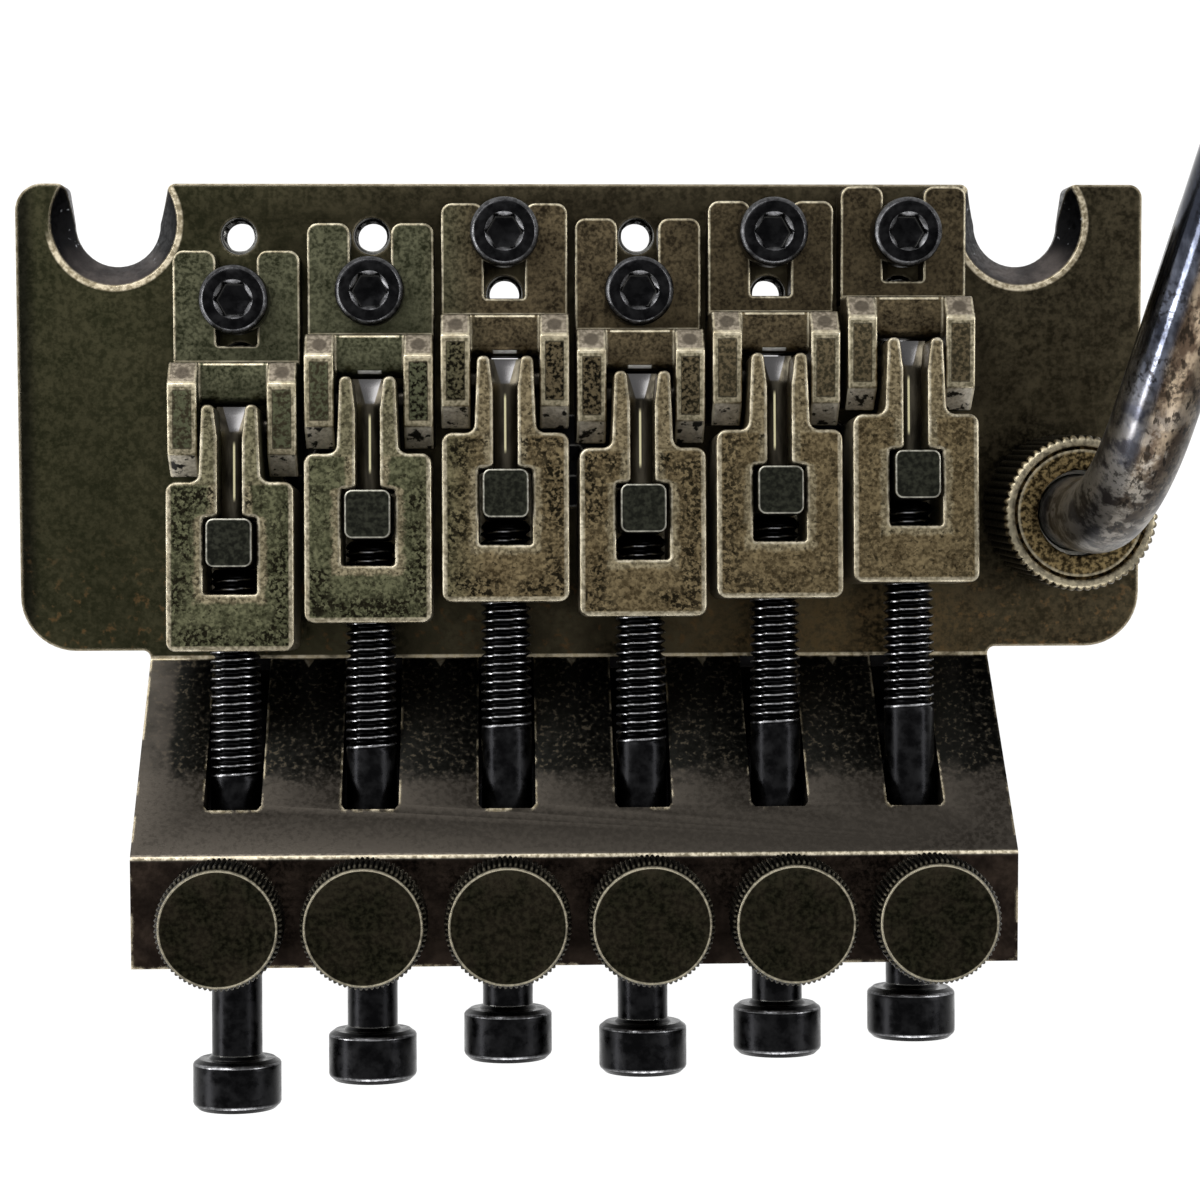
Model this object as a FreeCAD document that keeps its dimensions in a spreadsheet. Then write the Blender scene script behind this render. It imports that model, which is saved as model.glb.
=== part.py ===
import FreeCAD, Part
import os
import re
import Sketcher

# Guitar tremolo bridge with locking saddles and fine tuners, in millimetres.
# The origin is midway between the two stud notches, on the plate's underside, where the knife edges are.
# +X points to the treble side, +Y to the front, where the neck is, and +Z up, away from the guitar's body.

doc = FreeCAD.newDocument("tremolo_bridge")
sheet = doc.addObject("Spreadsheet::Sheet", "sheet")

SIZES = {
    # base plate: reaches go sideways from the centre, setbacks go back from the line of the studs
    "stud_spacing": 74.3,
    "stud_margin": 10.15,
    "plate_thick": 3.0,
    "bass_margin": 7.95,
    "plate_front": 3.1,
    "plate_rear": 35.0,
    "plate_corner": 4.5,
    "notch_radius": 3.5,
    "mouth_flare_outer": 0.45,
    "mouth_flare_inner": 1.05,
    "mouth_round": 0.7,
    "knife_land": 0.6,
    "bevel_width": 1.7,
    "bass_ear_round": 2.2,
    "treble_ear_round": 1.1,
    "tail_margin": 7.6,
    "neck_round": 0.6,
    "bend_land": 0.7,
    "wall_run": 14.3,
    "ridge_round": 0.8,
    "shelf_depth": 8.7,
    "shelf_clearance": 0.45,
    "slot_side_gap": 0.25,
    "slot_corner": 0.3,
    "slot_headroom": 0.15,
    # how far each saddle stands in front of the third one, and the furthest that one can go
    "intonation_1": -3.8,
    "intonation_2": -1.6,
    "intonation_3": 0.0,
    "intonation_4": -1.2,
    "intonation_5": 0.2,
    "intonation_6": 1.4,
    "forward_reach": 2.9,
    # saddle screws and their rows of holes
    "row_front": 1.15,
    "row_pitch": 4.7,
    "bass_row_setback": 0.7,
    "saddle_screw_dia": 2.9,
    "saddle_screw_head_dia": 5.5,
    "saddle_screw_head": 3.0,
    "saddle_screw_socket": 2.5,
    "saddle_screw_skin": 0.4,
    "thread_clearance": 0.05,
    # saddles
    "saddle_gap": 0.6,
    "fork_front": 1.3,
    "fork_thick": 2.8,
    "fork_length": 9.05,
    "fork_slot_play": 0.2,
    "fork_slot_end_gap": 0.25,
    "fork_round": 0.8,
    "fork_edge": 0.3,
    "bridge_depth": 3.35,
    "bridge_rise": 6.0,
    "bridge_crown": 1.2,
    "ear_length": 9.15,
    "ear_thick": 2.35,
    "ear_rise": 7.6,
    "ear_front_facet": 1.6,
    "ear_front_drop": 1.3,
    "ear_rear_facet": 1.85,
    "ear_rear_drop": 1.9,
    # hinge pins
    "pin_inset": 1.9,
    "pin_dia": 2.0,
    "pin_clearance": 0.04,
    # jaws, measured from the pin
    "jaw_tilt": 4.0,
    "jaw_gap": 0.8,
    "jaw_side_gap": 0.3,
    "jaw_ground": 1.8,
    "prong_gap": 0.45,
    "prong_round": 0.7,
    "shoulder_gap": 0.7,
    "jaw_length": 13.3,
    "jaw_top": 5.6,
    "jaw_round": 0.7,
    "jaw_edge": 0.45,
    "string_slot": 1.7,
    "string_slot_mouth": 2.5,
    "string_slot_flare": 2.5,
    "string_slot_floor": 0.8,
    "window_side_gap": 0.1,
    "window_length": 6.0,
    "window_wall": 4.5,
    "window_floor_gap": 0.2,
    "window_floor_thick": 1.0,
    # string inserts
    "insert_side_gap": 0.3,
    "insert_length": 3.8,
    "insert_front_gap": 0.1,
    "insert_floor_gap": 0.25,
    "insert_proud": 0.9,
    "insert_edge": 0.35,
    # lock screws
    "axis_lift": 1.0,
    "lock_screw_dia": 4.0,
    "lock_screw_head_dia": 7.0,
    "lock_screw_head": 4.0,
    "lock_screw_head_clear": 1.7,
    "lock_screw_tip_gap": 0.1,
    "lock_screw_socket": 3.0,
    "screw_edge": 0.4,
    # fine tuners
    "tuner_inset": 4.05,
    "stem_dia": 5.0,
    "stem_in_knob": 3.0,
    "stem_tip_gap": 0.35,
    "stem_point": 0.6,
    "knob_lift": 4.35,
    "knob_gap": 1.2,
    "knob_height": 4.2,
    "knob_disc_inset": 0.25,
    "knob_disc_proud": 0.25,
    "knob_edge": 0.35,
    # leaf spring under the lock screws
    "leaf_thick": 0.5,
    "leaf_finger_gap": 1.2,
    "leaf_rail_margin": 2.0,
    "leaf_reach": 14.5,
    "leaf_contact": 2.5,
    "leaf_gap": 0.08,
    "leaf_screw_dia": 2.5,
    "leaf_screw_head_dia": 4.5,
    "leaf_screw_head": 1.4,
    "leaf_screw_skin": 1.2,
    # sustain block
    "block_front": 13.5,
    "block_depth": 12.0,
    "block_margin": 4.5,
    "block_height": 37.0,
    "block_foot_inset": 4.5,
    "block_foot_height": 14.0,
    "block_round": 1.5,
    "spring_hole_dia": 3.0,
    "spring_hole_depth": 11.0,
    "spring_hole_pitch": 10.5,
    "block_screw_pitch": 20.0,
    "block_screw_dia": 4.0,
    "block_screw_head_dia": 7.6,
    "block_screw_length": 14.0,
    "block_screw_socket": 2.5,
    # arm, its socket and its collar
    "arm_offset": 13.3,
    "arm_edge": 6.9,
    "arm_setback": 23.7,
    "arm_dia": 6.0,
    "arm_clearance": 0.1,
    "arm_foot": 13.0,
    "arm_stand": 4.4,
    "arm_bend": 15.0,
    "arm_rise_angle": 30.0,
    "arm_straight": 56.0,
    "arm_second_bend": 25.0,
    "arm_tip_angle": 6.0,
    "arm_grip": 70.0,
    "arm_tip_round": 2.2,
    "arm_heading": 10.6,
    "socket_wall": 1.15,
    "socket_step": 0.55,
    "socket_rise": 6.4,
    "socket_drop": 14.0,
    "nut_wall": 2.0,
    "nut_height": 4.0,
    "collar_wall": 1.45,
    "collar_lift": 0.3,
    "collar_roof": 2.0,
    "collar_gap": 0.4,
    "collar_rim": 0.65,
    "collar_groove": 0.35,
    "collar_edge": 0.3,
    "washer_thick": 1.1,
    "washer_play": 0.05,
}

# Sizes that follow from the driving ones, as expressions.
DERIVED = {
    "string_spacing": "((stud_spacing - 2 * stud_margin) / 5)",
    "outer_string": "(2.5 * string_spacing)",
    "saddle_width": "(string_spacing - saddle_gap)",
    "jaw_width": "(string_spacing - jaw_gap)",
    "knob_dia": "(string_spacing - knob_gap)",
    "knob_disc_dia": "(knob_dia - 2 * knob_disc_inset)",
    "tail_width": "(2 * outer_string + 2 * tail_margin)",
    "block_width": "(2 * outer_string + 2 * block_margin)",
    "block_foot_width": "(block_width - 2 * block_foot_inset)",
    "arm_across": "(outer_string + arm_offset)",
    "bass_reach": "(stud_spacing / 2 + bass_margin)",
    "treble_reach": "(arm_across + arm_edge)",
    "notch_outer": "(stud_spacing / 2 + notch_radius)",
    "notch_inner": "(stud_spacing / 2 - notch_radius)",
    "mouth_outer": "(notch_outer + mouth_flare_outer)",
    "mouth_inner": "(notch_inner - mouth_flare_inner)",
    "bevel_radius": "(notch_radius + bevel_width)",
    "bass_ear": "(bass_reach - mouth_outer)",
    "ear_front": "(fork_front - fork_length)",
    "ear_rear": "(ear_front - ear_length)",
    "bridge_rear": "(ear_front - bridge_depth)",
    "bay_half": "(saddle_width / 2 - ear_thick)",
    "slot_half": "(saddle_screw_dia / 2 + fork_slot_play)",
    "slot_rearmost": "max(intonation_1 - bass_row_setback; intonation_2; intonation_4)",
    "fork_slot_end": "(-row_front - row_pitch - saddle_screw_dia / 2 - fork_slot_end_gap - slot_rearmost)",
    "pin_setback": "(pin_inset - bridge_rear)",
    "jaw_drop": "(lock_screw_dia / 2 + window_floor_gap + window_floor_thick - axis_lift)",
    "pin_rise": "(jaw_drop + jaw_ground)",
    "pin_height": "(plate_thick + pin_rise)",
    "prong_front": "(pin_inset - prong_gap)",
    "prong_half": "(bay_half - jaw_side_gap)",
    "shoulder": "(pin_setback + ear_rear - shoulder_gap)",
    "jaw_rear": "(shoulder - jaw_length)",
    "window_rear": "(jaw_rear + window_wall)",
    "window_front": "(window_rear + window_length)",
    "window_width": "(lock_screw_dia + 2 * window_side_gap)",
    "window_floor": "(window_floor_thick - jaw_drop)",
    "insert_half": "(window_width / 2 - insert_side_gap)",
    "insert_front": "(window_front - insert_front_gap)",
    "insert_rear": "(insert_front - insert_length)",
    "insert_floor": "(window_floor + insert_floor_gap)",
    "lock_tip": "(insert_rear - lock_screw_tip_gap)",
    "bend_setback": "(plate_rear + bend_land)",
    "ridge_setback": "(bend_setback + wall_run)",
    "shelf_setback": "(ridge_setback + shelf_depth)",
    "tuner_setback": "(ridge_setback + tuner_inset)",
    "lock_screw_length": "(shelf_setback + lock_screw_head_clear + forward_reach - pin_setback + lock_tip)",
    "lock_screw_half": "(lock_screw_dia / 2 / cos(jaw_tilt))",
    "slot_width": "(lock_screw_dia + 2 * slot_side_gap)",
    "leaf_width": "(string_spacing - leaf_finger_gap)",
    "leaf_screw_setback": "(block_front + block_depth + leaf_rail_margin + leaf_screw_head_dia / 2)",
    "leaf_screw_reach": "(2 * string_spacing)",
    "socket_bore": "(arm_dia / 2 + arm_clearance)",
    "socket_stem": "(socket_bore + socket_wall)",
    "socket_thread": "(socket_stem + socket_step)",
    "socket_top": "(plate_thick + socket_rise)",
    "collar_bore": "(socket_thread + thread_clearance)",
    "collar_radius": "(collar_bore + collar_wall)",
    "collar_foot": "(plate_thick + collar_lift)",
    "collar_ceiling": "(socket_top + washer_thick + 2 * washer_play)",
    "collar_top": "(collar_ceiling + collar_roof)",
    "nut_across": "(2 * socket_stem + 2 * nut_wall)",
    "shelf_axis": "(pin_height + axis_lift / cos(jaw_tilt) + shelf_run * tan(jaw_tilt))",
    "shelf_run": "(shelf_setback - pin_setback + forward_reach)",
    "shelf_under": "(shelf_axis + lock_screw_half + shelf_clearance)",
    "shelf_top": "(shelf_under + plate_thick)",
    "slot_top": "(shelf_under - slot_headroom)",
    "outer_shift": "(plate_thick * tan(atan((shelf_top - plate_thick) / wall_run) / 2))",
    "knob_foot": "(shelf_top + knob_lift)",
    "rail_rear": "(bend_setback + outer_shift)",
    "leaf_touch_setback": "(rail_rear + leaf_reach - leaf_contact)",
}

STRINGS = range(1, 7)
ROWS = range(1, 4)
SCREW_ROW = {1: 2, 2: 2, 3: 1, 4: 2, 5: 1, 6: 1}
SPRING_HOLES = range(-2, 3)
BLOCK_SCREWS = range(-1, 2)
LEAF_SCREWS = (-1, 1)
THROUGH = "200"
SAME_PLACE = 0.01

for row, (alias, number_of_mm) in enumerate(SIZES.items(), start=1):
    sheet.set("A%d" % row, alias.replace("_", " "))
    sheet.set("B%d" % row, str(number_of_mm))
    sheet.setAlias("B%d" % row, alias)
doc.recompute()


def linked(expression):
    """The expression spelled out in driving sizes, each name pointed at its cell in the sheet."""

    def spell(word):
        if word[0] in DERIVED:
            return linked(DERIVED[word[0]])
        return "sheet." + word[0] if word[0] in SIZES else word[0]

    return re.sub(r"[a-z_]\w*", spell, expression)


def value(expression):
    """The number that an expression of sizes comes to."""
    return float(sheet.evalExpression(linked(expression)))


def new_body(label, place=("0", "0", "0"), axis=None, angle="0"):
    """An empty body for one piece, placed and turned by expressions of sizes."""
    body = doc.addObject("PartDesign::Body", label)
    body.Label = label
    if axis:
        body.Placement = FreeCAD.Placement(FreeCAD.Vector(), FreeCAD.Rotation(axis, value(angle)))
        body.setExpression("Placement.Rotation.Angle", "(%s) * 1 deg" % linked(angle))
    for letter, expression in zip("xyz", place):
        body.setExpression("Placement.Base." + letter, "(%s) * 1 mm" % linked(expression))
    return body


def new_sketch(body, plane, offset="0"):
    """An empty sketch on one of the body's own origin planes, moved along the plane's normal."""
    sketch = body.newObject("Sketcher::SketchObject", body.Name + "_sketch")
    support = [feature for feature in body.Origin.OriginFeatures if feature.Role == plane + "_Plane"]
    sketch.AttachmentSupport = [(support[0], "")]
    sketch.MapMode = "FlatFace"
    sketch.setExpression("AttachmentOffset.Base.z", "(%s) * 1 mm" % linked(offset))
    return sketch


def tie(sketch, geometry, point, place):
    """Holds one point of the sketch at a place given by two expressions."""
    for constraint, expression in zip(("DistanceX", "DistanceY"), place):
        index = sketch.addConstraint(
            Sketcher.Constraint(constraint, -1, 1, geometry, point, value(expression))
        )
        sketch.setExpression("Constraints[%d]" % index, linked(expression))


def draw_polygon(sketch, corners):
    """A closed outline of straight lines, every corner tied to the sheet."""
    places = [FreeCAD.Vector(value(x), value(y), 0) for x, y in corners]
    following = places[1:] + places[:1]
    first = sketch.GeometryCount
    for start, end in zip(places, following):
        sketch.addGeometry(Part.LineSegment(start, end), False)
    for index in range(len(corners)):
        after = (index + 1) % len(corners)
        sketch.addConstraint(Sketcher.Constraint("Coincident", first + index, 2, first + after, 1))
    for index, place in enumerate(corners):
        tie(sketch, first + index, 1, place)


def draw_circle(sketch, place, radius):
    """A circle with its centre and radius tied to the sheet."""
    centre = FreeCAD.Vector(value(place[0]), value(place[1]), 0)
    circle = Part.Circle(centre, FreeCAD.Vector(0, 0, 1), value(radius))
    geometry = sketch.addGeometry(circle, False)
    tie(sketch, geometry, 3, place)
    index = sketch.addConstraint(Sketcher.Constraint("Radius", geometry, value(radius)))
    sketch.setExpression("Constraints[%d]" % index, linked(radius))


def draw_hexagon(sketch, place, across, first_turn=0):
    """A hexagon of a given width across its flats, its first corner turned from the X axis."""
    corner = "(%s) / 2 / cos(30)" % across
    draw_polygon(
        sketch,
        [
            (
                "%s + %s * cos(%d)" % (place[0], corner, turn),
                "%s + %s * sin(%d)" % (place[1], corner, turn),
            )
            for turn in range(first_turn, first_turn + 360, 60)
        ],
    )


def add_pad(body, sketch, length, symmetric=False, reverse=False):
    """Material from a sketch, on one side of its plane or on both."""
    pad = body.newObject("PartDesign::Pad", body.Name + "_pad")
    pad.Profile = sketch
    pad.setExpression("Length", linked(length))
    pad.SideType = "Symmetric" if symmetric else "One side"
    pad.Reversed = reverse
    doc.recompute()
    return pad


def add_pocket(body, sketch, length, symmetric=False, reverse=False):
    """A cut from a sketch, which has to take some material away."""
    before = body.Tip.Shape.Volume
    pocket = body.newObject("PartDesign::Pocket", body.Name + "_pocket")
    pocket.Profile = sketch
    pocket.setExpression("Length", linked(length))
    pocket.SideType = "Symmetric" if symmetric else "One side"
    pocket.Reversed = reverse
    doc.recompute()
    if not pocket.Shape.Volume < before:
        raise ValueError("a pocket cuts nothing: " + pocket.Name)
    return pocket


def add_turning(body, profile):
    """A turned solid: the profile gives radius and height, and turns about the body's Z axis."""
    sketch = new_sketch(body, "XZ")
    draw_polygon(sketch, profile)
    turning = body.newObject("PartDesign::Revolution", body.Name + "_turning")
    turning.Profile = sketch
    turning.ReferenceAxis = (sketch, ["V_Axis"])
    turning.Angle = 360
    doc.recompute()
    return turning


def add_hex_socket(body, across, top, depth):
    """A hexagon socket sunk into the top of a screw's head."""
    sketch = new_sketch(body, "XY", top)
    draw_hexagon(sketch, ("0", "0"), across)
    return add_pocket(body, sketch, depth)


def edges_at(body, wanted):
    """Names of the edges of the body's last shape that the given test picks."""
    return ["Edge%d" % n for n, edge in enumerate(body.Tip.Shape.Edges, start=1) if wanted(edge)]


def upright_at(places):
    """A test for upright edges that stand at one of the places."""
    spots = [(value(x), value(y)) for x, y in places]

    def wanted(edge):
        box = edge.BoundBox
        upright = box.XLength < SAME_PLACE and box.YLength < SAME_PLACE
        near = [abs(box.XMin - x) < SAME_PLACE and abs(box.YMin - y) < SAME_PLACE for x, y in spots]
        return upright and any(near)

    return wanted


def level_at(height):
    """A test for edges that lie flat at a height."""
    level = value(height)
    return lambda edge: abs(edge.BoundBox.ZMin - level) < SAME_PLACE and edge.BoundBox.ZLength < SAME_PLACE


def crosswise_at(setback, height):
    """A test for straight edges along X at one setback and height."""
    spot = (value(setback), value(height))

    def wanted(edge):
        box = edge.BoundBox
        flat = box.YLength < SAME_PLACE and box.ZLength < SAME_PLACE
        return flat and abs(box.YMin - spot[0]) < SAME_PLACE and abs(box.ZMin - spot[1]) < SAME_PLACE

    return wanted


def add_edge_feature(body, kind, wanted, size):
    """A fillet or a chamfer on the edges that a test picks."""
    names = edges_at(body, wanted)
    if not names:
        raise ValueError("no edge to finish on " + body.Name)
    base = body.Tip
    feature = body.newObject("PartDesign::" + kind, body.Name + "_" + kind.lower())
    feature.Base = (base, names)
    feature.setExpression("Radius" if kind == "Fillet" else "Size", linked(size))
    doc.recompute()
    return feature


def string_x(string):
    """Where a string runs, from bass to treble."""
    return "(%g) * string_spacing" % (string - 3.5)


def intonation(string):
    """How far a string's saddle stands forward."""
    return "intonation_%d" % string


def screw_line(setback, string):
    """Height of a string's lock screw, on its axis, at a setback."""
    run = "(%s - pin_setback + %s)" % (setback, intonation(string))
    return "(pin_height + axis_lift / cos(jaw_tilt) + %s * tan(jaw_tilt))" % run


def row_setback(string, row):
    """Setback of one of the three holes under a string's saddle."""
    extra = " + bass_row_setback" if string == 1 and row > 1 else ""
    return "(row_front + %d * row_pitch%s)" % (row - 1, extra)


# The base plate is bent from one sheet: a flat front with two knife-edge notches and rows of tapped holes,
# a sloped wall with a slot for each lock screw, and a level shelf that carries the fine tuners.
plate = new_body("base_plate")
drawing = new_sketch(plate, "XY")
draw_polygon(
    drawing,
    [
        ("-bass_reach", "-plate_rear"),
        ("treble_reach", "-plate_rear"),
        ("treble_reach", "plate_front"),
        ("-bass_reach", "plate_front"),
    ],
)
add_pad(plate, drawing, "plate_thick")

drawing = new_sketch(plate, "YZ")
draw_polygon(
    drawing,
    [
        ("-plate_rear / 2", "0"),
        ("-bend_setback - outer_shift", "0"),
        ("-ridge_setback - outer_shift", "shelf_under"),
        ("-shelf_setback", "shelf_under"),
        ("-shelf_setback", "shelf_top"),
        ("-ridge_setback", "shelf_top"),
        ("-bend_setback", "plate_thick"),
        ("-plate_rear / 2", "plate_thick"),
    ],
)
add_pad(plate, drawing, "tail_width", symmetric=True)

for side in ("-", ""):
    drawing = new_sketch(plate, "XY")
    draw_circle(drawing, (side + "stud_spacing / 2", "0"), "notch_radius")
    add_pocket(plate, drawing, THROUGH, symmetric=True)
    drawing = new_sketch(plate, "XY")
    draw_polygon(
        drawing,
        [
            (side + "notch_inner", "0"),
            (side + "notch_outer", "0"),
            (side + "mouth_outer", "plate_front"),
            (side + "mouth_inner", "plate_front"),
        ],
    )
    add_pocket(plate, drawing, THROUGH, symmetric=True)

add_edge_feature(
    plate,
    "Fillet",
    upright_at([("-bass_reach", "-plate_rear"), ("treble_reach", "-plate_rear")]),
    "plate_corner",
)
add_edge_feature(
    plate,
    "Fillet",
    upright_at([("-tail_width / 2", "-plate_rear"), ("tail_width / 2", "-plate_rear")]),
    "neck_round",
)
add_edge_feature(
    plate,
    "Fillet",
    upright_at(
        [
            ("-mouth_outer", "plate_front"),
            ("-mouth_inner", "plate_front"),
            ("mouth_inner", "plate_front"),
            ("mouth_outer", "plate_front"),
        ]
    ),
    "mouth_round",
)
add_edge_feature(plate, "Fillet", upright_at([("treble_reach", "plate_front")]), "treble_ear_round")
add_edge_feature(
    plate,
    "Fillet",
    upright_at([("-bass_reach", "plate_front")]),
    "min(bass_ear_round; 0.6 * bass_ear)",
)
add_edge_feature(plate, "Fillet", crosswise_at("-ridge_setback", "shelf_top"), "ridge_round")

for side in ("-", ""):
    bevel = plate.newObject("PartDesign::SubtractiveCone", "knife_edge_bevel")
    bevel.setExpression("Radius1", linked("notch_radius"))
    bevel.setExpression("Radius2", linked("bevel_radius"))
    bevel.setExpression("Height", linked("plate_thick - knife_land"))
    bevel.Placement = FreeCAD.Placement()
    bevel.setExpression("Placement.Base.x", "(%s) * 1 mm" % linked(side + "stud_spacing / 2"))
    bevel.setExpression("Placement.Base.z", "(%s) * 1 mm" % linked("knife_land"))
    doc.recompute()

drawing = new_sketch(plate, "XY")
for string in STRINGS:
    for row in ROWS:
        place = (string_x(string), "-" + row_setback(string, row))
        draw_circle(drawing, place, "saddle_screw_dia / 2 + thread_clearance")
for place in BLOCK_SCREWS:
    hole = ("%d * block_screw_pitch" % place, "-block_front - block_depth / 2")
    draw_circle(drawing, hole, "block_screw_dia / 2 + thread_clearance")
draw_circle(drawing, ("arm_across", "-arm_setback"), "socket_stem + thread_clearance")
for string in STRINGS:
    draw_circle(drawing, (string_x(string), "-tuner_setback"), "stem_dia / 2 + thread_clearance")
add_pocket(plate, drawing, THROUGH, symmetric=True)

screw_hole = value("block_screw_dia / 2 + thread_clearance")
top_of_plate = level_at("plate_thick")


def block_screw_rim(edge):
    """A test for the upper rims of the block screws' holes."""
    round_rim = edge.Curve.TypeId == "Part::GeomCircle" and abs(edge.Curve.Radius - screw_hole) < SAME_PLACE
    return top_of_plate(edge) and round_rim


add_edge_feature(plate, "Chamfer", block_screw_rim, "block_screw_head_dia / 2 - block_screw_dia / 2")

drawing = new_sketch(plate, "XZ", "bend_setback")
for string in STRINGS:
    left = "%s - slot_width / 2" % string_x(string)
    right = "%s + slot_width / 2" % string_x(string)
    draw_polygon(
        drawing,
        [
            (left, "-plate_thick"),
            (right, "-plate_thick"),
            (right, "slot_top - slot_corner"),
            (right + " - slot_corner", "slot_top"),
            (left + " + slot_corner", "slot_top"),
            (left, "slot_top - slot_corner"),
        ],
    )
add_pocket(plate, drawing, "wall_run + outer_shift", reverse=True)

drawing = new_sketch(plate, "XY")
for side in LEAF_SCREWS:
    place = ("%d * leaf_screw_reach" % side, "-leaf_screw_setback")
    draw_circle(drawing, place, "leaf_screw_dia / 2 + thread_clearance")
add_pocket(plate, drawing, "plate_thick - leaf_screw_skin + thread_clearance", reverse=True)

# The sustain block hangs under the plate. Counter springs hook into the holes in its foot.
block = new_body("sustain_block", ("0", "-block_front - block_depth / 2", "0"))
drawing = new_sketch(block, "XZ")
draw_polygon(
    drawing,
    [
        ("-block_width / 2", "0"),
        ("-block_width / 2", "-block_height + block_foot_height"),
        ("-block_foot_width / 2", "-block_height"),
        ("block_foot_width / 2", "-block_height"),
        ("block_width / 2", "-block_height + block_foot_height"),
        ("block_width / 2", "0"),
    ],
)
add_pad(block, drawing, "block_depth", symmetric=True)
add_edge_feature(block, "Fillet", level_at("-block_height"), "block_round")
drawing = new_sketch(block, "XY", "-block_height")
for place in SPRING_HOLES:
    draw_circle(drawing, ("%d * spring_hole_pitch" % place, "0"), "spring_hole_dia / 2")
add_pocket(block, drawing, "spring_hole_depth", reverse=True)
drawing = new_sketch(block, "XY")
for place in BLOCK_SCREWS:
    draw_circle(drawing, ("%d * block_screw_pitch" % place, "0"), "block_screw_dia / 2 + thread_clearance")
add_pocket(block, drawing, "block_screw_length")

# Three countersunk screws hold the block to the plate, their heads flush under the saddles.
screws = []
for place in BLOCK_SCREWS:
    screw = new_body(
        "block_screw_%d" % (place + 2),
        ("%d * block_screw_pitch" % place, "-block_front - block_depth / 2", "plate_thick"),
    )
    head = "(block_screw_head_dia / 2 - block_screw_dia / 2)"
    add_turning(
        screw,
        [
            ("0", "-block_screw_length"),
            ("block_screw_dia / 2", "-block_screw_length"),
            ("block_screw_dia / 2", "-%s - thread_clearance" % head),
            ("block_screw_head_dia / 2", "-thread_clearance"),
            ("0", "-thread_clearance"),
        ],
    )
    add_hex_socket(screw, "block_screw_socket", "-thread_clearance", "block_screw_socket / 2")
    screws.append(screw)
group = doc.addObject("Part::Compound", "block_screws")
group.Links = screws

# Each saddle is one casting: a fork that is screwed to the plate, the string's rest and two ears.


def on_fork_top(edge):
    """A test for the upper edges of a saddle's fork."""
    return level_at("fork_thick")(edge) and edge.BoundBox.YMax > value("ear_front") + SAME_PLACE


for string in STRINGS:
    saddle = new_body("saddle_%d" % string, (string_x(string), intonation(string), "plate_thick"))
    drawing = new_sketch(saddle, "YZ")
    draw_polygon(
        drawing,
        [
            ("fork_front", "0"),
            ("fork_front", "fork_thick"),
            ("ear_front", "fork_thick"),
            ("ear_front", "ear_rise - ear_front_drop"),
            ("ear_front - ear_front_facet", "ear_rise"),
            ("ear_rear + ear_rear_facet", "ear_rise"),
            ("ear_rear", "ear_rise - ear_rear_drop"),
            ("ear_rear", "0"),
        ],
    )
    add_pad(saddle, drawing, "saddle_width", symmetric=True)
    drawing = new_sketch(saddle, "XY")
    draw_polygon(
        drawing,
        [
            ("-bay_half", "bridge_rear"),
            ("bay_half", "bridge_rear"),
            ("bay_half", "ear_rear - fork_length"),
            ("-bay_half", "ear_rear - fork_length"),
        ],
    )
    add_pocket(saddle, drawing, THROUGH, symmetric=True)
    drawing = new_sketch(saddle, "YZ")
    draw_polygon(
        drawing,
        [
            ("ear_front + fork_length", "bridge_rise"),
            ("ear_front + fork_length", "bridge_rise + ear_rise"),
            ("ear_rear", "bridge_rise + ear_rise"),
            ("ear_rear", "bridge_rise"),
        ],
    )
    add_pocket(saddle, drawing, "2 * bay_half", symmetric=True)
    drawing = new_sketch(saddle, "XY")
    draw_polygon(
        drawing,
        [
            ("-slot_half", "fork_slot_end"),
            ("slot_half", "fork_slot_end"),
            ("slot_half", "fork_front + fork_length"),
            ("-slot_half", "fork_front + fork_length"),
        ],
    )
    add_pocket(saddle, drawing, THROUGH, symmetric=True)
    drawing = new_sketch(saddle, "YZ")
    draw_circle(drawing, ("-pin_setback", "pin_rise"), "pin_dia / 2 + pin_clearance")
    add_pocket(saddle, drawing, THROUGH, symmetric=True)
    add_edge_feature(
        saddle,
        "Fillet",
        upright_at([(side + "saddle_width / 2", "fork_front") for side in ("-", "")]),
        "fork_round",
    )
    add_edge_feature(
        saddle,
        "Fillet",
        upright_at([(side + "slot_half", "fork_front") for side in ("-", "")]),
        "fork_round / 2",
    )
    add_edge_feature(saddle, "Fillet", crosswise_at("bridge_rear", "bridge_rise"), "bridge_crown")
    add_edge_feature(saddle, "Fillet", on_fork_top, "fork_edge")

# The hinge pins pass through both ears and carry the jaws.
for string in STRINGS:
    pin = new_body(
        "saddle_pin_%d" % string,
        (string_x(string), "%s - pin_setback" % intonation(string), "pin_height"),
    )
    drawing = new_sketch(pin, "YZ")
    draw_circle(drawing, ("0", "0"), "pin_dia / 2")
    add_pad(pin, drawing, "saddle_width - 2 * pin_clearance", symmetric=True)

# Each jaw hinges on its pin and clamps the string's end: two prongs beside the string at the front,
# and a window behind them for the insert that the lock screw pushes forward.


def jaw_frame(label, string):
    """A body whose origin is the pin of a saddle, turned with the jaw's tilt at rest."""
    place = (string_x(string), "%s - pin_setback" % intonation(string), "pin_height")
    return new_body(label, place, FreeCAD.Vector(1, 0, 0), "-jaw_tilt")


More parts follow.
